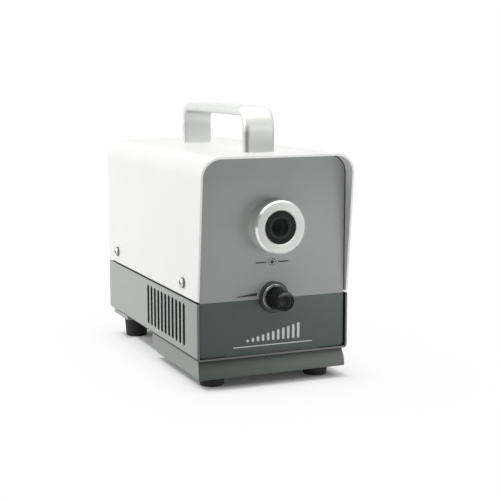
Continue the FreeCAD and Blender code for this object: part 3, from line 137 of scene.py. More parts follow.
class Finish:
    """One material: a Principled shader, and short calls for the nodes that feed it."""

    def __init__(self, name, **values):
        self.material = bpy.data.materials.new(name)
        self.material.use_nodes = True
        self.tree = self.material.node_tree
        self.shader = self.tree.nodes["Principled BSDF"]
        for socket, value in values.items():
            self.shader.inputs[socket.replace("_", " ")].default_value = value
        self.place = self.add("ShaderNodeTexCoord").outputs["Object"]
        self.x, self.y, self.z = self.add("ShaderNodeSeparateXYZ", {0: self.place}).outputs

    def add(self, kind, inputs=None, **settings):
        return add_node(self.tree, kind, inputs, **settings)

    def feed(self, **sources):
        for socket, source in sources.items():
            self.tree.links.new(source, self.shader.inputs[socket.replace("_", " ")])

    # Sums and lengths.
    def math(self, operation, *values, **settings):
        inputs = dict(enumerate(values))
        return self.add("ShaderNodeMath", inputs, operation=operation, **settings).outputs[0]

    def vector(self, operation, *values):
        inputs = dict(enumerate(values))
        return self.add("ShaderNodeVectorMath", inputs, operation=operation).outputs[0]

    def length(self, vector):
        return self.add("ShaderNodeVectorMath", {0: vector}, operation="LENGTH").outputs["Value"]

    def product(self, first, *others):
        for other in others:
            first = self.math("MULTIPLY", first, other)
        return first

    def apart(self, source, level):
        """How far a source is from a level, either way."""
        return self.math("ABSOLUTE", self.math("SUBTRACT", source, level))

    def radius(self, centre):
        """Distance from the Y axis through a centre."""
        moved = self.vector("SUBTRACT", self.place, centre)
        return self.length(self.vector("MULTIPLY", moved, (1.0, 0.0, 1.0)))

    # Masks.
    def over(self, source, level):
        return self.math("GREATER_THAN", source, level)

    def under(self, source, level):
        return self.math("LESS_THAN", source, level)

    def between(self, source, low, high):
        return self.product(self.over(source, low), self.under(source, high))

    def ramp(self, source, start, end, low=0.0, high=1.0):
        """Straight ramp from low at start to high at end, level beyond both."""
        inputs = {
            "Value": source, "From Min": start, "From Max": end, "To Min": low, "To Max": high,
        }
        return self.add("ShaderNodeMapRange", inputs).outputs[0]

    # Textures.
    def noise(self, scale, detail=2.0, vector=None):
        inputs = {"Vector": vector or self.place, "Scale": scale, "Detail": detail}
        return self.add("ShaderNodeTexNoise", inputs).outputs["Fac"]

    def stretched(self, scale):
        return self.add("ShaderNodeMapping", {"Vector": self.place, "Scale": scale}).outputs[0]

    def cells(self, scale):
        inputs = {"Vector": self.place, "Scale": scale}
        return self.add("ShaderNodeTexVoronoi", inputs).outputs["Color"]

    def bands(self, along, pitch):
        """0 to 1 and back, once every pitch metres along an axis."""
        wave = self.math("SINE", self.math("MULTIPLY", along, 2 * math.pi / pitch))
        return self.math("MULTIPLY_ADD", wave, 0.5, 0.5)

    def rings(self, centre, scale):
        """Noise that only changes with the distance from a Y axis, as turning marks do."""
        inputs = {"W": self.radius(centre), "Scale": scale, "Detail": 3.0}
        return self.add("ShaderNodeTexNoise", inputs, noise_dimensions="1D").outputs["Fac"]

    def spread(self, source, low, high):
        """A noise's middle range stretched to run from low to high."""
        return self.ramp(source, NOISE_LOW, NOISE_HIGH, low, high)

    # Colours.
    def mix(self, factor, first, second):
        inputs = {0: factor, 6: first, 7: second}
        return self.add("ShaderNodeMix", inputs, data_type="RGBA").outputs[2]

    def drift(self, colour, share, scale):
        """A colour that wanders by a share of itself round its mean."""
        factor = self.spread(self.noise(scale, 3.0), 0.0, 1.0)
        return self.mix(factor, tinted(colour, 1 - share), tinted(colour, 1 + share))

    def scaled(self, colour, share):
        """A colour times a share, which may be a socket or hold one share for each channel."""
        if isinstance(share, tuple):
            return self.vector("MULTIPLY", colour, share)
        inputs = {0: colour, "Scale": share}
        return self.add("ShaderNodeVectorMath", inputs, operation="SCALE").outputs[0]

    def shade(self, colour, places=None):
        """A colour times a share wherever places(finish), a list of (mask, share), has a mask.
        This is how light and shade are painted onto a finish.
        """
        for mask, share in places(self) if places else ():
            colour = self.mix(mask, colour, self.scaled(colour, share))
        return colour

    def relief(self, height, depth, edge=None):
        """Bump of a depth in metres, with edges rounded off by a radius."""
        inputs = {"Height": height, "Distance": depth}
        if edge:
            bevel = self.add("ShaderNodeBevel", {"Radius": edge}, samples=BEVEL_SAMPLES)
            inputs["Normal"] = bevel.outputs[0]
        self.feed(Normal=self.add("ShaderNodeBump", inputs).outputs[0])


# ---------------------------------------------------------------- finishes
def powder_coat(name, colour, roughness, places=None):
    """Satin paint baked on sheet metal, with a fine orange peel."""
    finish = Finish(name, Specular_IOR_Level=0.4)
    finish.feed(
        Base_Color=finish.shade(finish.drift(colour, share=0.012, scale=18.0), places),
        Roughness=finish.spread(finish.noise(700.0), roughness - 0.05, roughness + 0.05),
    )
    finish.relief(finish.noise(1300.0, 3.0), depth=0.008 * MM, edge=0.35 * MM)
    return finish.material


def printed_film(name, upper, lower, split, roughness):
    """Matt film in two greys that meet along a level line, both painted paler towards the right as
    a sheen.
    """
    finish = Finish(name, Specular_IOR_Level=0.35)
    # painted sheen: both greys grow lighter towards the right
    painted_sheen = finish.ramp(finish.x, -0.6 * SIDE, 0.9 * SIDE)
    greys = finish.mix(
        finish.over(finish.z, split),
        finish.mix(painted_sheen, tinted(lower), tinted(lower, 1.25)),
        finish.mix(painted_sheen, tinted(upper), tinted(upper, 1.02)),
    )
    cloud = finish.spread(finish.noise(30.0, 3.0), 0.98, 1.02)
    finish.feed(
        Base_Color=finish.scaled(greys, cloud),
        Roughness=finish.spread(finish.noise(900.0), roughness - 0.03, roughness + 0.03),
    )
    finish.relief(finish.noise(4200.0, 3.0), depth=0.004 * MM)
    return finish.material


def brushed_metal(name, colour, roughness):
    """Sheet metal with straight brush lines along Z."""
    finish = Finish(name, Metallic=1.0)
    lines = finish.noise(2600.0, 3.0, finish.stretched((1.0, 1.0, 0.04)))
    finish.feed(
        Base_Color=finish.mix(lines, tinted(colour, 0.93), tinted(colour, 1.04)),
        Roughness=finish.spread(lines, roughness - 0.06, roughness + 0.08),
    )
    finish.relief(lines, depth=0.004 * MM, edge=0.2 * MM)
    return finish.material


def blasted_metal(name, colour, roughness, places=None):
    """Bead-blasted and anodised aluminium."""
    finish = Finish(name, Metallic=1.0)
    finish.feed(
        Base_Color=finish.shade(finish.drift(colour, share=0.02, scale=60.0), places),
        Roughness=finish.spread(finish.noise(1500.0), roughness - 0.05, roughness + 0.05),
    )
    finish.relief(finish.noise(5000.0, 4.0), depth=0.007 * MM, edge=0.4 * MM)
    return finish.material


def turned_metal(name, colour, roughness, centre, places=None):
    """Aluminium faced on a lathe: rings round a Y axis, and a sheen that follows them."""
    finish = Finish(name, Metallic=0.8, Anisotropic=0.55)
    marks = finish.rings(centre, 5200.0)
    metal = finish.mix(marks, tinted(colour, 0.95), tinted(colour, 1.03))
    finish.feed(
        Base_Color=finish.shade(metal, places),
        Roughness=finish.spread(marks, roughness - 0.06, roughness + 0.08),
        Tangent=finish.add("ShaderNodeTangent", direction_type="RADIAL", axis="Y").outputs[0],
    )
    finish.relief(marks, depth=0.006 * MM, edge=0.25 * MM)
    return finish.material


def plated_steel(name, colour, roughness, fleck=0.04, places=None):
    """Plated steel: small crystals in the plating and fine handling scratches."""
    finish = Finish(name, Metallic=1.0)
    flecks = finish.add("ShaderNodeSeparateXYZ", {0: finish.cells(900.0)}).outputs[0]
    plating = finish.mix(flecks, tinted(colour, 1 - fleck), tinted(colour, 1 + fleck))
    finish.feed(
        Base_Color=finish.shade(plating, places),
        Roughness=finish.spread(finish.noise(1800.0, 4.0), roughness - 0.04, roughness + 0.07),
    )
    finish.relief(finish.noise(2400.0, 3.0), depth=0.003 * MM, edge=0.15 * MM)
    return finish.material


def moulded_plastic(name, colour, roughness, grain=0.012 * MM, sheen=0.5, places=None):
    """Plastic from a spark-eroded mould."""
    finish = Finish(name, Specular_IOR_Level=sheen)
    finish.feed(
        Base_Color=finish.shade(finish.drift(colour, share=0.06, scale=120.0), places),
        Roughness=finish.spread(finish.noise(2600.0), roughness - 0.06, roughness + 0.06),
    )
    finish.relief(finish.noise(2600.0, 3.0), depth=grain, edge=0.25 * MM)
    return finish.material


def gloss_plastic(name, colour, places=None):
    """Polished black plastic with the faint haze that fingers leave."""
    finish = Finish(name, Specular_IOR_Level=0.08, Coat_Weight=0.1, Coat_Roughness=0.04)
    finish.feed(
        Base_Color=finish.shade(finish.drift(colour, share=0.08, scale=200.0), places),
        Roughness=finish.spread(finish.noise(350.0, 4.0), 0.11, 0.25),
    )
    finish.relief(finish.noise(600.0), depth=0.006 * MM, edge=0.2 * MM)
    return finish.material


def rubber(name, colour):
    """Matt moulded rubber with a light bloom."""
    finish = Finish(name, Specular_IOR_Level=0.35)
    bloom = finish.spread(finish.noise(90.0, 4.0), 0.0, 1.0)
    finish.feed(
        Base_Color=finish.mix(bloom, tinted(colour, 0.85), tinted(colour, 1.3)),
        Roughness=finish.spread(finish.noise(900.0), 0.72, 0.9),
    )
    finish.relief(finish.noise(1900.0, 3.0), depth=0.022 * MM, edge=0.4 * MM)
    return finish.material


def circuit_board(name, colour):
    """Green solder mask over square-cornered copper tracks."""
    finish = Finish(name, Coat_Weight=0.3, Coat_Roughness=0.2)
    tracks = finish.add(
        "ShaderNodeTexVoronoi",
        {"Vector": finish.place, "Scale": 260.0},
        distance="CHEBYCHEV",
        feature="F2",
    ).outputs["Distance"]
    copper = finish.spread(tracks, 0.0, 1.0)
    finish.feed(
        Base_Color=finish.mix(copper, tinted(colour, 0.7), tinted(colour, 1.5)),
        Roughness=finish.spread(finish.noise(500.0), 0.3, 0.42),
    )
    finish.relief(tracks, depth=0.015 * MM)
    return finish.material


def wound_wire(name, colour):
    """Enamelled wire laid turn by turn along Y."""
    finish = Finish(name, Metallic=0.8, Coat_Weight=0.5, Coat_Roughness=0.1)
    turns = finish.bands(finish.y, pitch=0.5 * MM)
    finish.feed(
        Base_Color=finish.mix(turns, tinted(colour, 0.45), tinted(colour, 1.1)),
        Roughness=finish.spread(finish.noise(900.0), 0.25, 0.4),
    )
    finish.relief(turns, depth=0.15 * MM)
    return finish.material


def laminations(name, colour):
    """Stacked and varnished core plates."""
    finish = Finish(name, Metallic=0.3)
    plates = finish.bands(finish.y, pitch=0.7 * MM)
    finish.feed(
        Base_Color=finish.mix(plates, tinted(colour, 0.6), tinted(colour, 1.2)),
        Roughness=finish.spread(finish.noise(700.0), 0.5, 0.7),
    )
    finish.relief(plates, depth=0.05 * MM)
    return finish.material


def shrink_sleeve(name, colour, band):
    """A capacitor's glossy sleeve, with its plain light stripe."""
    finish = Finish(name, Coat_Weight=0.4, Coat_Roughness=0.1)
    stripe = finish.over(finish.bands(finish.x, pitch=9 * MM), 0.96)
    finish.feed(
        Base_Color=finish.mix(stripe, tinted(colour), tinted(band)),
        Roughness=finish.spread(finish.noise(400.0), 0.2, 0.32),
    )
    finish.relief(finish.noise(300.0), depth=0.01 * MM, edge=0.3 * MM)
    return finish.material


def glass(name, colour):
    """Polished glass with a trace of dust."""
    finish = Finish(name, Transmission_Weight=1.0, IOR=1.52)
    finish.feed(
        Base_Color=finish.drift(colour, share=0.01, scale=80.0),
        Roughness=finish.spread(finish.noise(1200.0, 4.0), 0.0, 0.05),
    )
    return finish.material


def ink(name, colour):
    """Screen-printed ink: slightly uneven and matt."""
    finish = Finish(name, Specular_IOR_Level=0.35)
    finish.feed(
        Base_Color=finish.drift(colour, share=0.05, scale=400.0),
        Roughness=finish.spread(finish.noise(1500.0), 0.5, 0.65),
    )
    finish.relief(finish.noise(5000.0), depth=0.003 * MM)
    return finish.material


# ---------------------------------------------------------------- painted light and shade by place on the part
# Shares of its own colour that a finish takes where a mask is 1: painted shade below 1, painted
# light and highlights above 1. A share of two numbers runs from the first to the second along the
# part.
HIDDEN_PAINTED_SHADE = 0.06
SHELTERED_PAINTED_SHADE = 0.1
TRAY_FRONT = 0.8
LIP_TO_RIGHT = (0.38, 0.58)
LIP_UPRIGHT = 0.465
FLANGE_TO_REAR = (1.0, 8.0)
COVER_TO_FRONT = (1.02, 1.12)
HOOD_EDGE = 0.96
HOOD_EDGE_INSIDE = 0.75
PLINTH_FRONT = (0.33, 0.37, 0.348)   # one share for each channel
PLINTH_UNDER_LIP = 0.3
PLINTH_TO_RIGHT = (0.67, 1.39)
LEG_TO_REAR = (0.74, 0.9)
LEG_EDGE_TO_REAR = (0.43, 0.85)
LEG_DOWN = (1.0, 1.18)
NOSE_CHAMFER = 2.4
NOSE_CHAMFER_SHADE = 0.34
NOSE_INNER_EDGE = 1.7
NOSE_SIDE_DOWN = (1.2, 3.5)
BORE_TO_REAR = (3.0, 60.0)
SOCKET_MOUTH = 3.4
SCREW_RECESS = 0.22
KNOB_RING_PAINTED_GLINT = (2.6, 6.0)
KNOB_RIM_HIGHLIGHT = 18.0
CAP_RIM_HIGHLIGHT = 14.0


def tray_painted_shade(finish):
    """Painted shade on the tray's inner faces and underside, on the sheet's thickness in its
    slots, and on the greyer front of its sides and lip. The flange under the cover pales towards
    the rear, painted lighter."""
    across = finish.math("ABSOLUTE", finish.x)
    skin = SIDE - SHEET + SEAM
    in_skin = finish.under(across, skin)
    inner = finish.product(in_skin, finish.over(finish.z, TRAY_LOW + SHEET - SEAM))
    flange = finish.product(in_skin, finish.over(finish.z, TRAY_TOP - SHEET))
    slots = finish.product(
        finish.between(across, skin, SIDE - 4 * SEAM),
        finish.under(finish.math("ABSOLUTE", finish.y), -FILM_FRONT),
        finish.under(finish.z, TRAY_TOP - 2 * SHEET),
    )
    below = finish.under(finish.z, TRAY_LOW + SEAM)
    lip = finish.under(finish.y, FILM_FRONT - 10 * SEAM)
    upright = finish.product(
        lip, finish.over(across, skin - 2 * SEAM), finish.over(finish.z, TRAY_LOW + 2 * SHEET)
    )
    forward = finish.ramp(finish.y, 0.0, FILM_FRONT)
    lip_share = finish.ramp(finish.x, -SIDE, SIDE, *LIP_TO_RIGHT)
    upright_share = finish.math("DIVIDE", LIP_UPRIGHT, lip_share)   # on top of the lip's share
    flange_share = finish.ramp(finish.y, 0.8 * FILM_FRONT, -FILM_FRONT, *FLANGE_TO_REAR)
    # all painted shade, except the flange's paler rear, which is painted light
    return (
        (forward, TRAY_FRONT), (lip, lip_share), (upright, upright_share), (inner, HIDDEN_PAINTED_SHADE),
        (flange, flange_share), (slots, SHELTERED_PAINTED_SHADE), (below, SHELTERED_PAINTED_SHADE),
    )


def cover_painted_light_and_shade(finish):
    """Painted shade on the cover's inner face behind the panel, painted light on its top, whiter
    towards the front, and painted shade on the hood's right edge, darkest on its inner side."""
    across = finish.math("SUBTRACT", finish.math("ABSOLUTE", finish.x), SIDE - COVER_CORNER)
    above = finish.math("SUBTRACT", finish.z, COVER_TOP - COVER_CORNER)
    outside = finish.add(
        "ShaderNodeCombineXYZ",
        {0: finish.math("MAXIMUM", across, 0.0), 1: finish.math("MAXIMUM", above, 0.0)},
    ).outputs[0]
    behind_film = 0.5 * MM
    inner = finish.product(
        finish.under(finish.length(outside), COVER_CORNER - SHEET + SEAM),
        finish.over(finish.y, FILM_FRONT + behind_film),
    )
    top_blend = 6 * MM
    top = finish.ramp(finish.z, COVER_TOP - top_blend, COVER_TOP)
    top_share = finish.ramp(finish.y, -FILM_FRONT, 0.9 * FILM_FRONT, *COVER_TO_FRONT)
    right_edge = finish.product(
        finish.between(finish.x, SIDE - SHEET - 2 * SEAM, SIDE - SEAM),
        finish.under(finish.y, FILM_FRONT),
        finish.ramp(finish.z, COVER_TOP - COVER_CORNER, COVER_TOP - 2 * COVER_CORNER),
    )
    right_inside = finish.product(right_edge, finish.under(finish.x, SIDE - SHEET + SEAM))
    return (
        (inner, HIDDEN_PAINTED_SHADE), (top, top_share), (right_edge, HOOD_EDGE),
        (right_inside, HOOD_EDGE_INSIDE),
    )


def plinth_painted_light_and_shade(finish):
    """Painted shade on the plinth's front face, a painted shadow in the shelter of the tray's lip,
    and painted light that makes the front paler towards the right."""
    low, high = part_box("front_plinth")
    base = low.y + 10 * SEAM
    leaning = finish.ramp(finish.z, low.z, high.z, base, base + PLINTH_LEAN)
    front = finish.under(finish.y, leaning)
    shelter = 4 * MM
    # painted shadow of the tray's lip on the plinth's front
    sheltered = finish.product(front, finish.ramp(finish.z, high.z - shelter, high.z))
    front_share = finish.ramp(finish.x, -SIDE, SIDE, *PLINTH_TO_RIGHT)
    return (front, PLINTH_FRONT), (sheltered, PLINTH_UNDER_LIP), (front, front_share)


def handle_painted_light_and_shade(finish):
    """Painted light and shade on the handle's legs: each left edge dark as a painted reflection,
    the front one greyer and the rear one paler, both paler towards the foot.
    """
    low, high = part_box("carry_handle")
    front, rear = low.y + 10 * MM, high.y - 10 * MM
    bend_top, bend_end = high.z - 12 * MM, high.z - 20 * MM
    edge_middle = low.x + 1.2 * MM
    edge_fades, edge_full = 2.2 * MM, 0.4 * MM
    off_side = low.x + 0.15 * MM
    leg = finish.ramp(finish.z, bend_top, bend_end)
    near_edge = finish.ramp(finish.apart(finish.x, edge_middle), edge_fades, edge_full)
    dark = finish.product(near_edge, finish.over(finish.x, off_side), leg)
    along = finish.ramp(finish.y, front, rear, *LEG_TO_REAR)
    edge_share = finish.ramp(finish.y, front, rear, *LEG_EDGE_TO_REAR)
    down = finish.ramp(finish.z, bend_end, low.z, *LEG_DOWN)
    return (leg, along), (leg, down), (dark, edge_share)


def nose_painted_light_and_shade(finish):
    """The nose ring's polished outer chamfer with a painted highlight, and painted shade at its
    upper left; its inner edge with a painted highlight; and its side, painted paler towards the
    bottom."""
    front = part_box("nose_ring")[0].y
    chamfer_width = 1.4 * MM
    side_depth = 0.5 * MM
    edge_width = 0.8 * MM
    shade_middle = PORT_AXIS.z + 5.8 * MM
    shade_fades, shade_full = 6.4 * MM, 3.6 * MM
    radius = finish.radius(PORT_AXIS)
    chamfer = finish.between(radius, NOSE_RADIUS - chamfer_width, NOSE_RADIUS - SEAM)
    to_left = finish.under(finish.x, PORT_AXIS.x)
    near_shade = finish.ramp(finish.apart(finish.z, shade_middle), shade_fades, shade_full)
    shaded_chamfer = finish.product(chamfer, to_left, near_shade)
    edge = finish.between(radius, SOCKET_RADIUS, SOCKET_RADIUS + edge_width)
    side = finish.product(
        finish.over(radius, NOSE_RADIUS - side_depth), finish.over(finish.y, front + chamfer_width)
    )
    top, bottom = PORT_AXIS.z + NOSE_RADIUS, PORT_AXIS.z - NOSE_RADIUS
    side_share = finish.ramp(finish.z, top, bottom, *NOSE_SIDE_DOWN)
    return (chamfer, NOSE_CHAMFER), (shaded_chamfer, NOSE_CHAMFER_SHADE), (edge, NOSE_INNER_EDGE), (side, side_share)


def socket_painted_light(finish):
    """Painted light in the socket's bore, paler with depth, and a painted highlight on the face
    round its mouth.
    """
    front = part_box("light_port_socket")[0].y
    shallow, deep = front + 3 * MM, front + 30 * MM
    wall = PORT_BORE + 5 * SEAM
    mouth_fades, mouth_full = PORT_BORE + 2.3 * MM, PORT_BORE + 1.2 * MM
    radius = finish.radius(PORT_AXIS)
    deeper = finish.ramp(finish.y, shallow, deep, *BORE_TO_REAR)
    soft = finish.ramp(radius, mouth_fades, mouth_full)
    mouth = finish.product(finish.over(radius, wall), soft)
    return (finish.under(radius, wall), deeper), (mouth, SOCKET_MOUTH)


def screw_painted_shade(finish):
    """Painted shade in the cross recess and round the rim of the screws in the cover's sides."""
    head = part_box("cover_screws")[1].x - SIDE
    height = finish.math("SUBTRACT", finish.math("ABSOLUTE", finish.x), SIDE)
    return ((finish.ramp(height, 0.75 * head, 0.45 * head), SCREW_RECESS),)


def ring_painted_glint(finish):
    """A painted glint on the outer edge of the ring behind the knob, brightest at its top and just
    below its middle. Its bottom keeps its own tone."""
    rim_width = 0.35 * MM
    bottom, lower = KNOB_AXIS.z - 8 * MM, KNOB_AXIS.z - 4 * MM
    duller_middle = KNOB_AXIS.z + 3 * MM
    duller, brightest = 2.5 * MM, 4.5 * MM
    rim = finish.over(finish.radius(KNOB_AXIS), KNOB_RING_RADIUS - rim_width)
    raised = finish.ramp(finish.z, bottom, lower)
    from_middle = finish.apart(finish.z, duller_middle)
    painted_glint = finish.ramp(from_middle, duller, brightest, *KNOB_RING_PAINTED_GLINT)
    return ((finish.product(rim, raised), painted_glint),)


def knob_painted_highlight(finish):
    """A painted highlight on the knob's front rim, paler at its top."""
    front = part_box("knob_body")[0].y
    rim_depth = 0.5 * MM
    highlight_start, highlight_full = KNOB_AXIS.z + 3 * MM, KNOB_AXIS.z + 7 * MM
    rim = finish.under(finish.y, front + rim_depth)
    highlight = finish.ramp(finish.z, highlight_start, highlight_full)
    return ((finish.product(rim, highlight), KNOB_RIM_HIGHLIGHT),)


def cap_painted_highlight(finish):
    """A painted highlight on the cap's rim, paler than its hollow, most of all at the upper right.
    """
    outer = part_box("knob_cap")[1].x - KNOB_AXIS.x
    hollow, crest = outer - 1.2 * MM, outer - 0.5 * MM
    lower_left, upper_right = -4 * MM, 6 * MM
    rim = finish.ramp(finish.radius(KNOB_AXIS), hollow, crest)
    slant = finish.math("ADD", finish.x, finish.math("SUBTRACT", finish.z, KNOB_AXIS.z))
    raised = finish.ramp(slant, lower_left, upper_right)
    return ((finish.product(rim, raised), CAP_RIM_HIGHLIGHT),)


# ---------------------------------------------------------------- dressing the CAD nodes
TRAY_GREY = (0.395, 0.412, 0.395)
PLINTH_GREY = (0.271, 0.289, 0.276)
FILM_UPPER = (0.305, 0.326, 0.32)
FILM_LOWER = (0.052, 0.075, 0.068)
TONE_SPLIT = KNOB_AXIS.z - 1.1 * MM
BLACK = (0.022, 0.022, 0.024)
GLOSS_BLACK = (0.009, 0.009, 0.009)


def shell_finishes():
    """Finishes of the sheet metal and the film, with the nodes that take them."""
    return {
        powder_coat("white_paint", (0.86, 0.86, 0.85), 0.42, cover_painted_light_and_shade): ("top_cover",),
        powder_coat("tray_grey_paint", TRAY_GREY, 0.48, tray_painted_shade): ("chassis_tray",),
        powder_coat("rear_grey_paint", TRAY_GREY, 0.48): ("rear_foot_bar", "rear_panel"),
        powder_coat("plinth_grey_paint", PLINTH_GREY, 0.5, plinth_painted_light_and_shade): ("front_plinth",),
        printed_film("two_tone_film", FILM_UPPER, FILM_LOWER, TONE_SPLIT, 0.36): (
            "front_overlay",
        ),
        brushed_metal("panel_sheet", (0.78, 0.79, 0.8), 0.32): ("front_panel",),
        brushed_metal("plain_aluminium", (0.76, 0.77, 0.78), 0.34): (
            "psu_cooling_plate", "pot_shaft",
        ),
    }


def metal_finishes():
    """Finishes of screws, fittings, turned parts and the handle, with their nodes."""
    return {
        plated_steel("zinc_plating", (0.66, 0.69, 0.72), 0.36, fleck=0.08): (
            "barrel_screws", "base_nuts", "board_screws", "bracket_screws", "engine_bracket",
            "foot_screws", "handle_screws", "handle_washers", "knob_set_screw", "panel_screws",
            "plinth_screws", "pot_body", "pot_nut",
        ),
        plated_steel("nickel_plating", (0.80, 0.79, 0.77), 0.2, fleck=0.02): (
            "fan_guard", "fan_screws", "inlet_pins", "inlet_screws",
        ),
        plated_steel("screw_nickel", (0.6, 0.6, 0.58), 0.25, places=screw_painted_shade): (
            "cover_screws",
        ),
        plated_steel("brass", (0.72, 0.52, 0.22), 0.28): ("board_standoffs", "switch_terminals"),
        blasted_metal("handle_anodising", (0.65, 0.66, 0.64), 0.46, handle_painted_light_and_shade): (
            "carry_handle",
        ),
        blasted_metal("sink_anodising", (0.75, 0.76, 0.77), 0.4): ("heat_sink",),
        blasted_metal("dark_anodising", (0.05, 0.053, 0.056), 0.42): (
            "lens_barrel", "lens_retaining_ring",
        ),
        turned_metal("turned_nose", (0.375, 0.39, 0.37), 0.4, PORT_AXIS, nose_painted_light_and_shade): (
            "nose_ring", "port_lock_nut",
        ),
        turned_metal("turned_knob_ring", (0.1, 0.105, 0.1), 0.16, KNOB_AXIS, ring_painted_glint): (
            "knob_ring",
        ),
        turned_metal("turned_skirt", (0.045, 0.051, 0.049), 0.3, KNOB_AXIS): ("knob_skirt",),
    }


def moulded_finishes():
    """Finishes of plastic, rubber and ceramic, with their nodes."""
    socket_black = moulded_plastic(
        "socket_black", (0.009, 0.01, 0.0095), 0.4, sheen=0.1, places=socket_painted_light
    )
    cap_black = moulded_plastic(
        "cap_black", (0.008, 0.009, 0.008), 0.3, sheen=0.13, places=cap_painted_highlight
    )
    return {
        rubber("foot_rubber", (0.022, 0.022, 0.022)): ("front_feet", "rear_feet"),
        moulded_plastic("black_moulding", BLACK, 0.5): (
            "fan_frame", "fan_rotor", "fuse_drawer", "power_inlet", "switch_housing",
        ),
        socket_black: ("light_port_socket",),
        cap_black: ("knob_cap",),
        gloss_plastic("knob_black", GLOSS_BLACK, knob_painted_highlight): ("knob_body",),
        gloss_plastic("gloss_black", GLOSS_BLACK): ("switch_rocker",),
        moulded_plastic("white_ceramic", (0.82, 0.82, 0.78), 0.5, 0.006 * MM): ("led_board",),
        moulded_plastic("led_phosphor", (0.86, 0.66, 0.12), 0.25, 0.003 * MM): ("led_emitter",),
    }


def inner_finishes():
    """Finishes of the electrical parts and the glass, with their nodes."""
    return {
        circuit_board("solder_mask", (0.02, 0.16, 0.07)): ("driver_board", "psu_board"),
        wound_wire("winding_along_y", (0.55, 0.22, 0.09)): (
            "driver_inductor", "fan_coil", "transformer_coil",
        ),
        laminations("core_plates", (0.05, 0.05, 0.055)): ("transformer",),
        shrink_sleeve("capacitor_sleeve", (0.02, 0.03, 0.07), (0.5, 0.52, 0.55)): (
            "bulk_capacitor", "output_capacitors",
        ),
        glass("clear_glass", (0.95, 0.97, 0.97)): ("condenser_lens", "fuses"),
    }


def dress(nodes):
    for make in (shell_finishes, metal_finishes, moulded_finishes, inner_finishes):
        for material, names in make().items():
            for name in names:
                mesh = nodes[name].data
                mesh.materials.clear()
                mesh.materials.append(material)
    bare = [name for name, node in nodes.items() if node.data.materials[0].name == name]
    if bare:
        raise ValueError(f"nodes with no finish: {bare}")


# ---------------------------------------------------------------- flat outlines
def rounded_bar(centre, length, width, angle=0.0, steps=6):
    """Outline of a bar with half-round ends, about its centre, turned by an angle."""
    half = (length - width) / 2
    points = []
    for end, start in ((half, -math.pi / 2), (-half, math.pi / 2)):
        for step in range(steps + 1):
            turn = start + math.pi * step / steps
            points.append((end + width / 2 * math.cos(turn), width / 2 * math.sin(turn)))
    cosine, sine = math.cos(angle), math.sin(angle)
    return [
        (centre[0] + x * cosine - z * sine, centre[1] + x * sine + z * cosine) for x, z in points
    ]


def disc(radius, steps=32):
    turns = [2 * math.pi * step / steps for step in range(steps)]
    return [(radius * math.cos(turn), radius * math.sin(turn)) for turn in turns]


def rays(count, inner, outer, width):
    """Short bars that stand round the middle."""
    reach = (inner + outer) / 2
    outlines = []
    for index in range(count):
        angle = 2 * math.pi * index / count
        place = (reach * math.cos(angle), reach * math.sin(angle))
        outlines.append(rounded_bar(place, outer - inner, width, angle))
    return outlines


def half_ring(radius, width, turn, steps=10):
    """Outline of nearly half a ring, from just past one end of a diameter to the other."""
    start, sweep = turn + math.radians(6), math.radians(168)
    turns = [start + sweep * step / steps for step in range(steps + 1)]
    inner = radius - width
    outline = [(radius * math.cos(t), radius * math.sin(t)) for t in turns]
    return outline + [(inner * math.cos(t), inner * math.sin(t)) for t in reversed(turns)]


# ---------------------------------------------------------------- prints
PRINT_THICKNESS = 0.05 * MM


def prism(name, outlines, place, body, material):
    """Thin solids from flat outlines: place maps (x, z) to a point, its third axis is outward."""
    mesh = bmesh.new()
    for outline in outlines:
        low = [mesh.verts.new(place @ Vector((x, z, 0))) for x, z in outline]
        high = [mesh.verts.new(place @ Vector((x, z, PRINT_THICKNESS))) for x, z in outline]
        mesh.faces.new(high)
        mesh.faces.new(list(reversed(low)))
        for index in range(len(outline)):
            after = (index + 1) % len(outline)
            mesh.faces.new((low[index], low[after], high[after], high[index]))
    bmesh.ops.recalc_face_normals(mesh, faces=mesh.faces)
    piece = add_mesh(name, mesh, material)
    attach(piece, body)


def film_print(name, outlines, x, z, material):
    """Ink on the front film, with the zero point of its outlines at x and z."""
    turn = Matrix(((1, 0, 0), (0, 0, -1), (0, 1, 0))).to_4x4()
    place = Matrix.Translation((x, FILM_FRONT, z)) @ turn
    prism(name, outlines, place, "cabinet", material)


def rocker_print(name, outlines, end, along, material):
    """Ink on one half of the rocker's face, 1 for its upper and -1 for its lower end."""
    slope = math.atan2(ROCKER_CREST - ROCKER_SADDLE, ROCKER_HALF_LENGTH)
    cosine, sine = math.cos(slope), end * math.sin(slope)
    turn = Matrix(((-1, 0, 0), (0, sine, cosine), (0, cosine, -sine))).to_4x4()
    outward = ROCKER_SADDLE + along * abs(sine)
    on_face = Matrix.Translation((0, outward, end * along * cosine)) @ turn
    at_rest = Matrix.Translation(Vector(ROCKER_PIVOT)) @ Matrix.Rotation(ROCKER_REST, 4, "X")
    prism(name, outlines, at_rest @ on_face, "rocker", material)


def make_port_symbol(material):
    """Light symbol between two rules, under the port."""
    rule, rule_middle = 8.6 * MM, 9.0 * MM
    outlines = [disc(1.35 * MM)]
    outlines += rays(count=8, inner=1.9 * MM, outer=3.2 * MM, width=0.7 * MM)
    outlines += [rounded_bar((side * rule_middle, 0), rule, 1.0 * MM) for side in (-1, 1)]
    x, z = PORT_AXIS.x - 1.0 * MM, PORT_AXIS.z - 26.9 * MM
    film_print("port_symbol", outlines, x, z, material)


def make_dimmer_wedge(material):
    """Wedge that grows towards the knob, placed by its lower left corner."""
    length, thin, thick = 17 * MM, 0.35 * MM, 2.6 * MM
    wedge = [(0, 0), (length, 0), (length, thick), (0, thin)]
    x, z = KNOB_AXIS.x - 30.0 * MM, KNOB_AXIS.z + 1.4 * MM
    film_print("dimmer_wedge", [wedge], x, z, material)


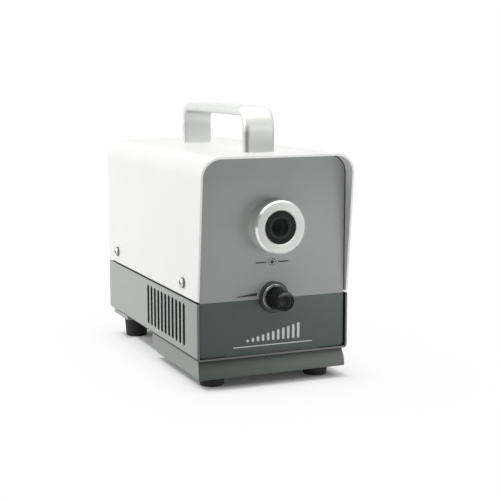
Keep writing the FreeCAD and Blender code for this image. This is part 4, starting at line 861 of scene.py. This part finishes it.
def make_level_bars(material):
    """Rising bars over a rule, on the dark half."""
    count = 11
    step = 4.1 * MM
    width = 2.0 * MM
    lowest = 2.2 * MM
    rise = 0.95 * MM
    bars = []
    for index in range(count):
        tall = lowest + rise * index
        x = (index - (count - 1) / 2) * step
        bars.append(rounded_bar((x, tall / 2), tall, width, math.pi / 2))
    film_print("level_bars", bars, KNOB_AXIS.x, KNOB_AXIS.z - 32.8 * MM, material)
    rule = rounded_bar((0, 0), 64 * MM, 0.7 * MM)
    film_print("level_rule", [rule], KNOB_AXIS.x, KNOB_AXIS.z - 36.0 * MM, material)


def make_rocker_marks(material):
    """A ring for off and a bar for on."""
    along = 5.7 * MM
    ring = [half_ring(1.1 * MM, 0.4 * MM, turn) for turn in (0.0, math.pi)]
    rocker_print("off_mark", ring, 1, along, material)
    bar = rounded_bar((0, 0), 2.2 * MM, 0.5 * MM, math.pi / 2)
    rocker_print("on_mark", [bar], -1, along, material)


def make_prints():
    dark = ink("dark_ink", (0.03, 0.038, 0.037))
    make_port_symbol(dark)
    make_dimmer_wedge(dark)
    make_level_bars(ink("light_ink", (0.62, 0.68, 0.66)))
    make_rocker_marks(ink("rocker_ink", (0.75, 0.75, 0.74)))


# ---------------------------------------------------------------- studio
FLOOR_SIZE, FLOOR_CELLS = 6.0, 8
FLOOR_WHITE = (0.94, 0.94, 0.94)
FLOOR_BOUNCE = (0.75, 0.75, 0.75)   # the floor's colour for the light that it returns
CONTACT_SHARE, CONTACT_REACH = 0.72, 1.5 * MM
AROUND_SHARE, AROUND_REACH = 0.3, 15.0 * MM
SHADOW_LEAST = 0.05 * MM
PAINTED_WHITE_UNDER_PLINTH = 7.0 * MM   # how far inside the plinth's left edge the floor's white, painted over its shadow, starts
# the same inset of the painted white under the tray's left side
PAINTED_WHITE_UNDER_TRAY = 15.0 * MM
AMBIENT = 0.3


def seen_directly(tree):
    """1 for camera, glossy and transmission rays."""
    path = add_node(tree, "ShaderNodeLightPath").outputs
    seen = path["Is Camera Ray"]
    for other in (path["Is Glossy Ray"], path["Is Transmission Ray"]):
        inputs = {0: seen, 1: other}
        seen = add_node(tree, "ShaderNodeMath", inputs, operation="ADD", use_clamp=True).outputs[0]
    return seen


def distance_in_plan(finish, low, high):
    """Level distance from the rectangle between two corners."""
    centre, half = (low + high) / 2, (high - low) / 2
    centre.z = half.z = 0.0
    offset = finish.vector("ABSOLUTE", finish.vector("SUBTRACT", finish.place, centre))
    beyond = finish.vector("MAXIMUM", finish.vector("SUBTRACT", offset, half), (0, 0, 0))
    return finish.length(beyond)


def faded(finish, distance, share, reach):
    """Grows from nearly 0 beside the object to a share, half way there at a reach."""
    distance = finish.math("ADD", distance, SHADOW_LEAST)
    near = finish.math("DIVIDE", distance, finish.math("ADD", distance, reach))
    return finish.math("MULTIPLY", near, share)


def floor_fade(finish):
    """How far the floor has turned to plain white, painted over its shadow, by its distance from
    the object.
    """
    plinth, feet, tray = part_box("front_plinth"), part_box("rear_feet"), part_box("chassis_tray")
    shadows = (
        (plinth[0] + Vector((PAINTED_WHITE_UNDER_PLINTH, 0, 0)), plinth[1]),
        feet,
        (tray[0] + Vector((PAINTED_WHITE_UNDER_TRAY, 0, 0)), tray[1]),
    )
    distances = [distance_in_plan(finish, *corners) for corners in shadows]
    contact = finish.math("MINIMUM", finish.math("MINIMUM", *distances[:2]), distances[2])
    around = distance_in_plan(finish, plinth[0], feet[1])
    return finish.math(
        "ADD",
        faded(finish, contact, CONTACT_SHARE, CONTACT_REACH),
        faded(finish, around, AROUND_SHARE, AROUND_REACH),
        use_clamp=True,
    )


def floor_paper():
    """Pale paper that keeps the object's shadow and fades into the white background."""
    finish = Finish("floor_paper", Specular_IOR_Level=0.0, Roughness=0.9)
    shown = seen_directly(finish.tree)
    paper = finish.drift(FLOOR_WHITE, share=0.004, scale=6.0)
    finish.feed(Base_Color=finish.mix(shown, tinted(FLOOR_BOUNCE), paper))
    white = finish.add("ShaderNodeEmission", {"Strength": 1.0})
    mixed = finish.add("ShaderNodeMixShader", {
        0: finish.product(floor_fade(finish), shown),
        1: finish.shader.outputs[0],
        2: white.outputs[0],
    })
    output = finish.tree.nodes["Material Output"]
    finish.tree.links.new(mixed.outputs[0], output.inputs["Surface"])
    return finish.material


def make_floor():
    mesh = bmesh.new()
    bmesh.ops.create_grid(mesh, x_segments=FLOOR_CELLS, y_segments=FLOOR_CELLS, size=FLOOR_SIZE)
    floor = add_mesh("floor", mesh, floor_paper())
    return floor


def make_world():
    """White where it is seen, and a soft even fill as light."""
    world = bpy.data.worlds.new("studio")
    bpy.context.scene.world = world
    world.use_nodes = True
    tree = world.node_tree
    inputs = {"Value": seen_directly(tree), "To Min": AMBIENT, "To Max": 1.0}
    strength = add_node(tree, "ShaderNodeMapRange", inputs)
    background = tree.nodes["Background"]
    background.inputs["Color"].default_value = (1.0, 1.0, 1.0, 1.0)
    tree.links.new(strength.outputs[0], background.inputs["Strength"])


def add_light(name, kind, power):
    data = bpy.data.lights.new(name, kind)
    data.energy = power
    return add_object(name, data)


def make_lamp(name, place, size, power, aim):
    """A rectangular lamp that the camera doesn't see, turned to what it lights."""
    lamp = add_light(name, "AREA", power)
    lamp.data.shape = "RECTANGLE"
    lamp.data.size, lamp.data.size_y = size
    lamp.location = place
    lamp.rotation_euler = (Vector(aim) - Vector(place)).to_track_quat("-Z", "Y").to_euler()
    lamp.visible_camera = False
    return lamp


def make_sky(name, spread, strength):
    """Even light from straight above, over a round patch of so many degrees."""
    lamp = add_light(name, "SUN", strength)
    lamp.data.angle = math.radians(spread)
    return lamp


def spare(lamp, role, piece):
    """Leaves one object out of what a lamp lights or of what casts shadows in it."""
    others = bpy.data.collections.new(f"{piece.name}_left_out")
    others.objects.link(piece)
    setattr(lamp.light_linking, role, others)
    others.collection_objects[0].light_linking.link_state = "EXCLUDE"


def make_studio(nodes):
    floor = make_floor()
    make_world()
    make_lamp(
        "left_softbox", place=(-1.2, 0.45, 0.55), size=(1.1, 1.0), power=8.4, aim=(0.0, 0.0, 0.08)
    )
    card = make_lamp(
        "low_card", place=(0.26, -0.40, 0.05), size=(0.3, 0.12), power=0.4, aim=PORT_AXIS
    )
    spare(card, "receiver_collection", floor)
    sky = make_sky("top_light", spread=100.0, strength=1.7)
    spare(sky, "blocker_collection", nodes["carry_handle"])
    bpy.context.scene.view_settings.view_transform = "Standard"


make_camera()
make_studio(frame["nodes"])
dress(frame["nodes"])
make_prints()
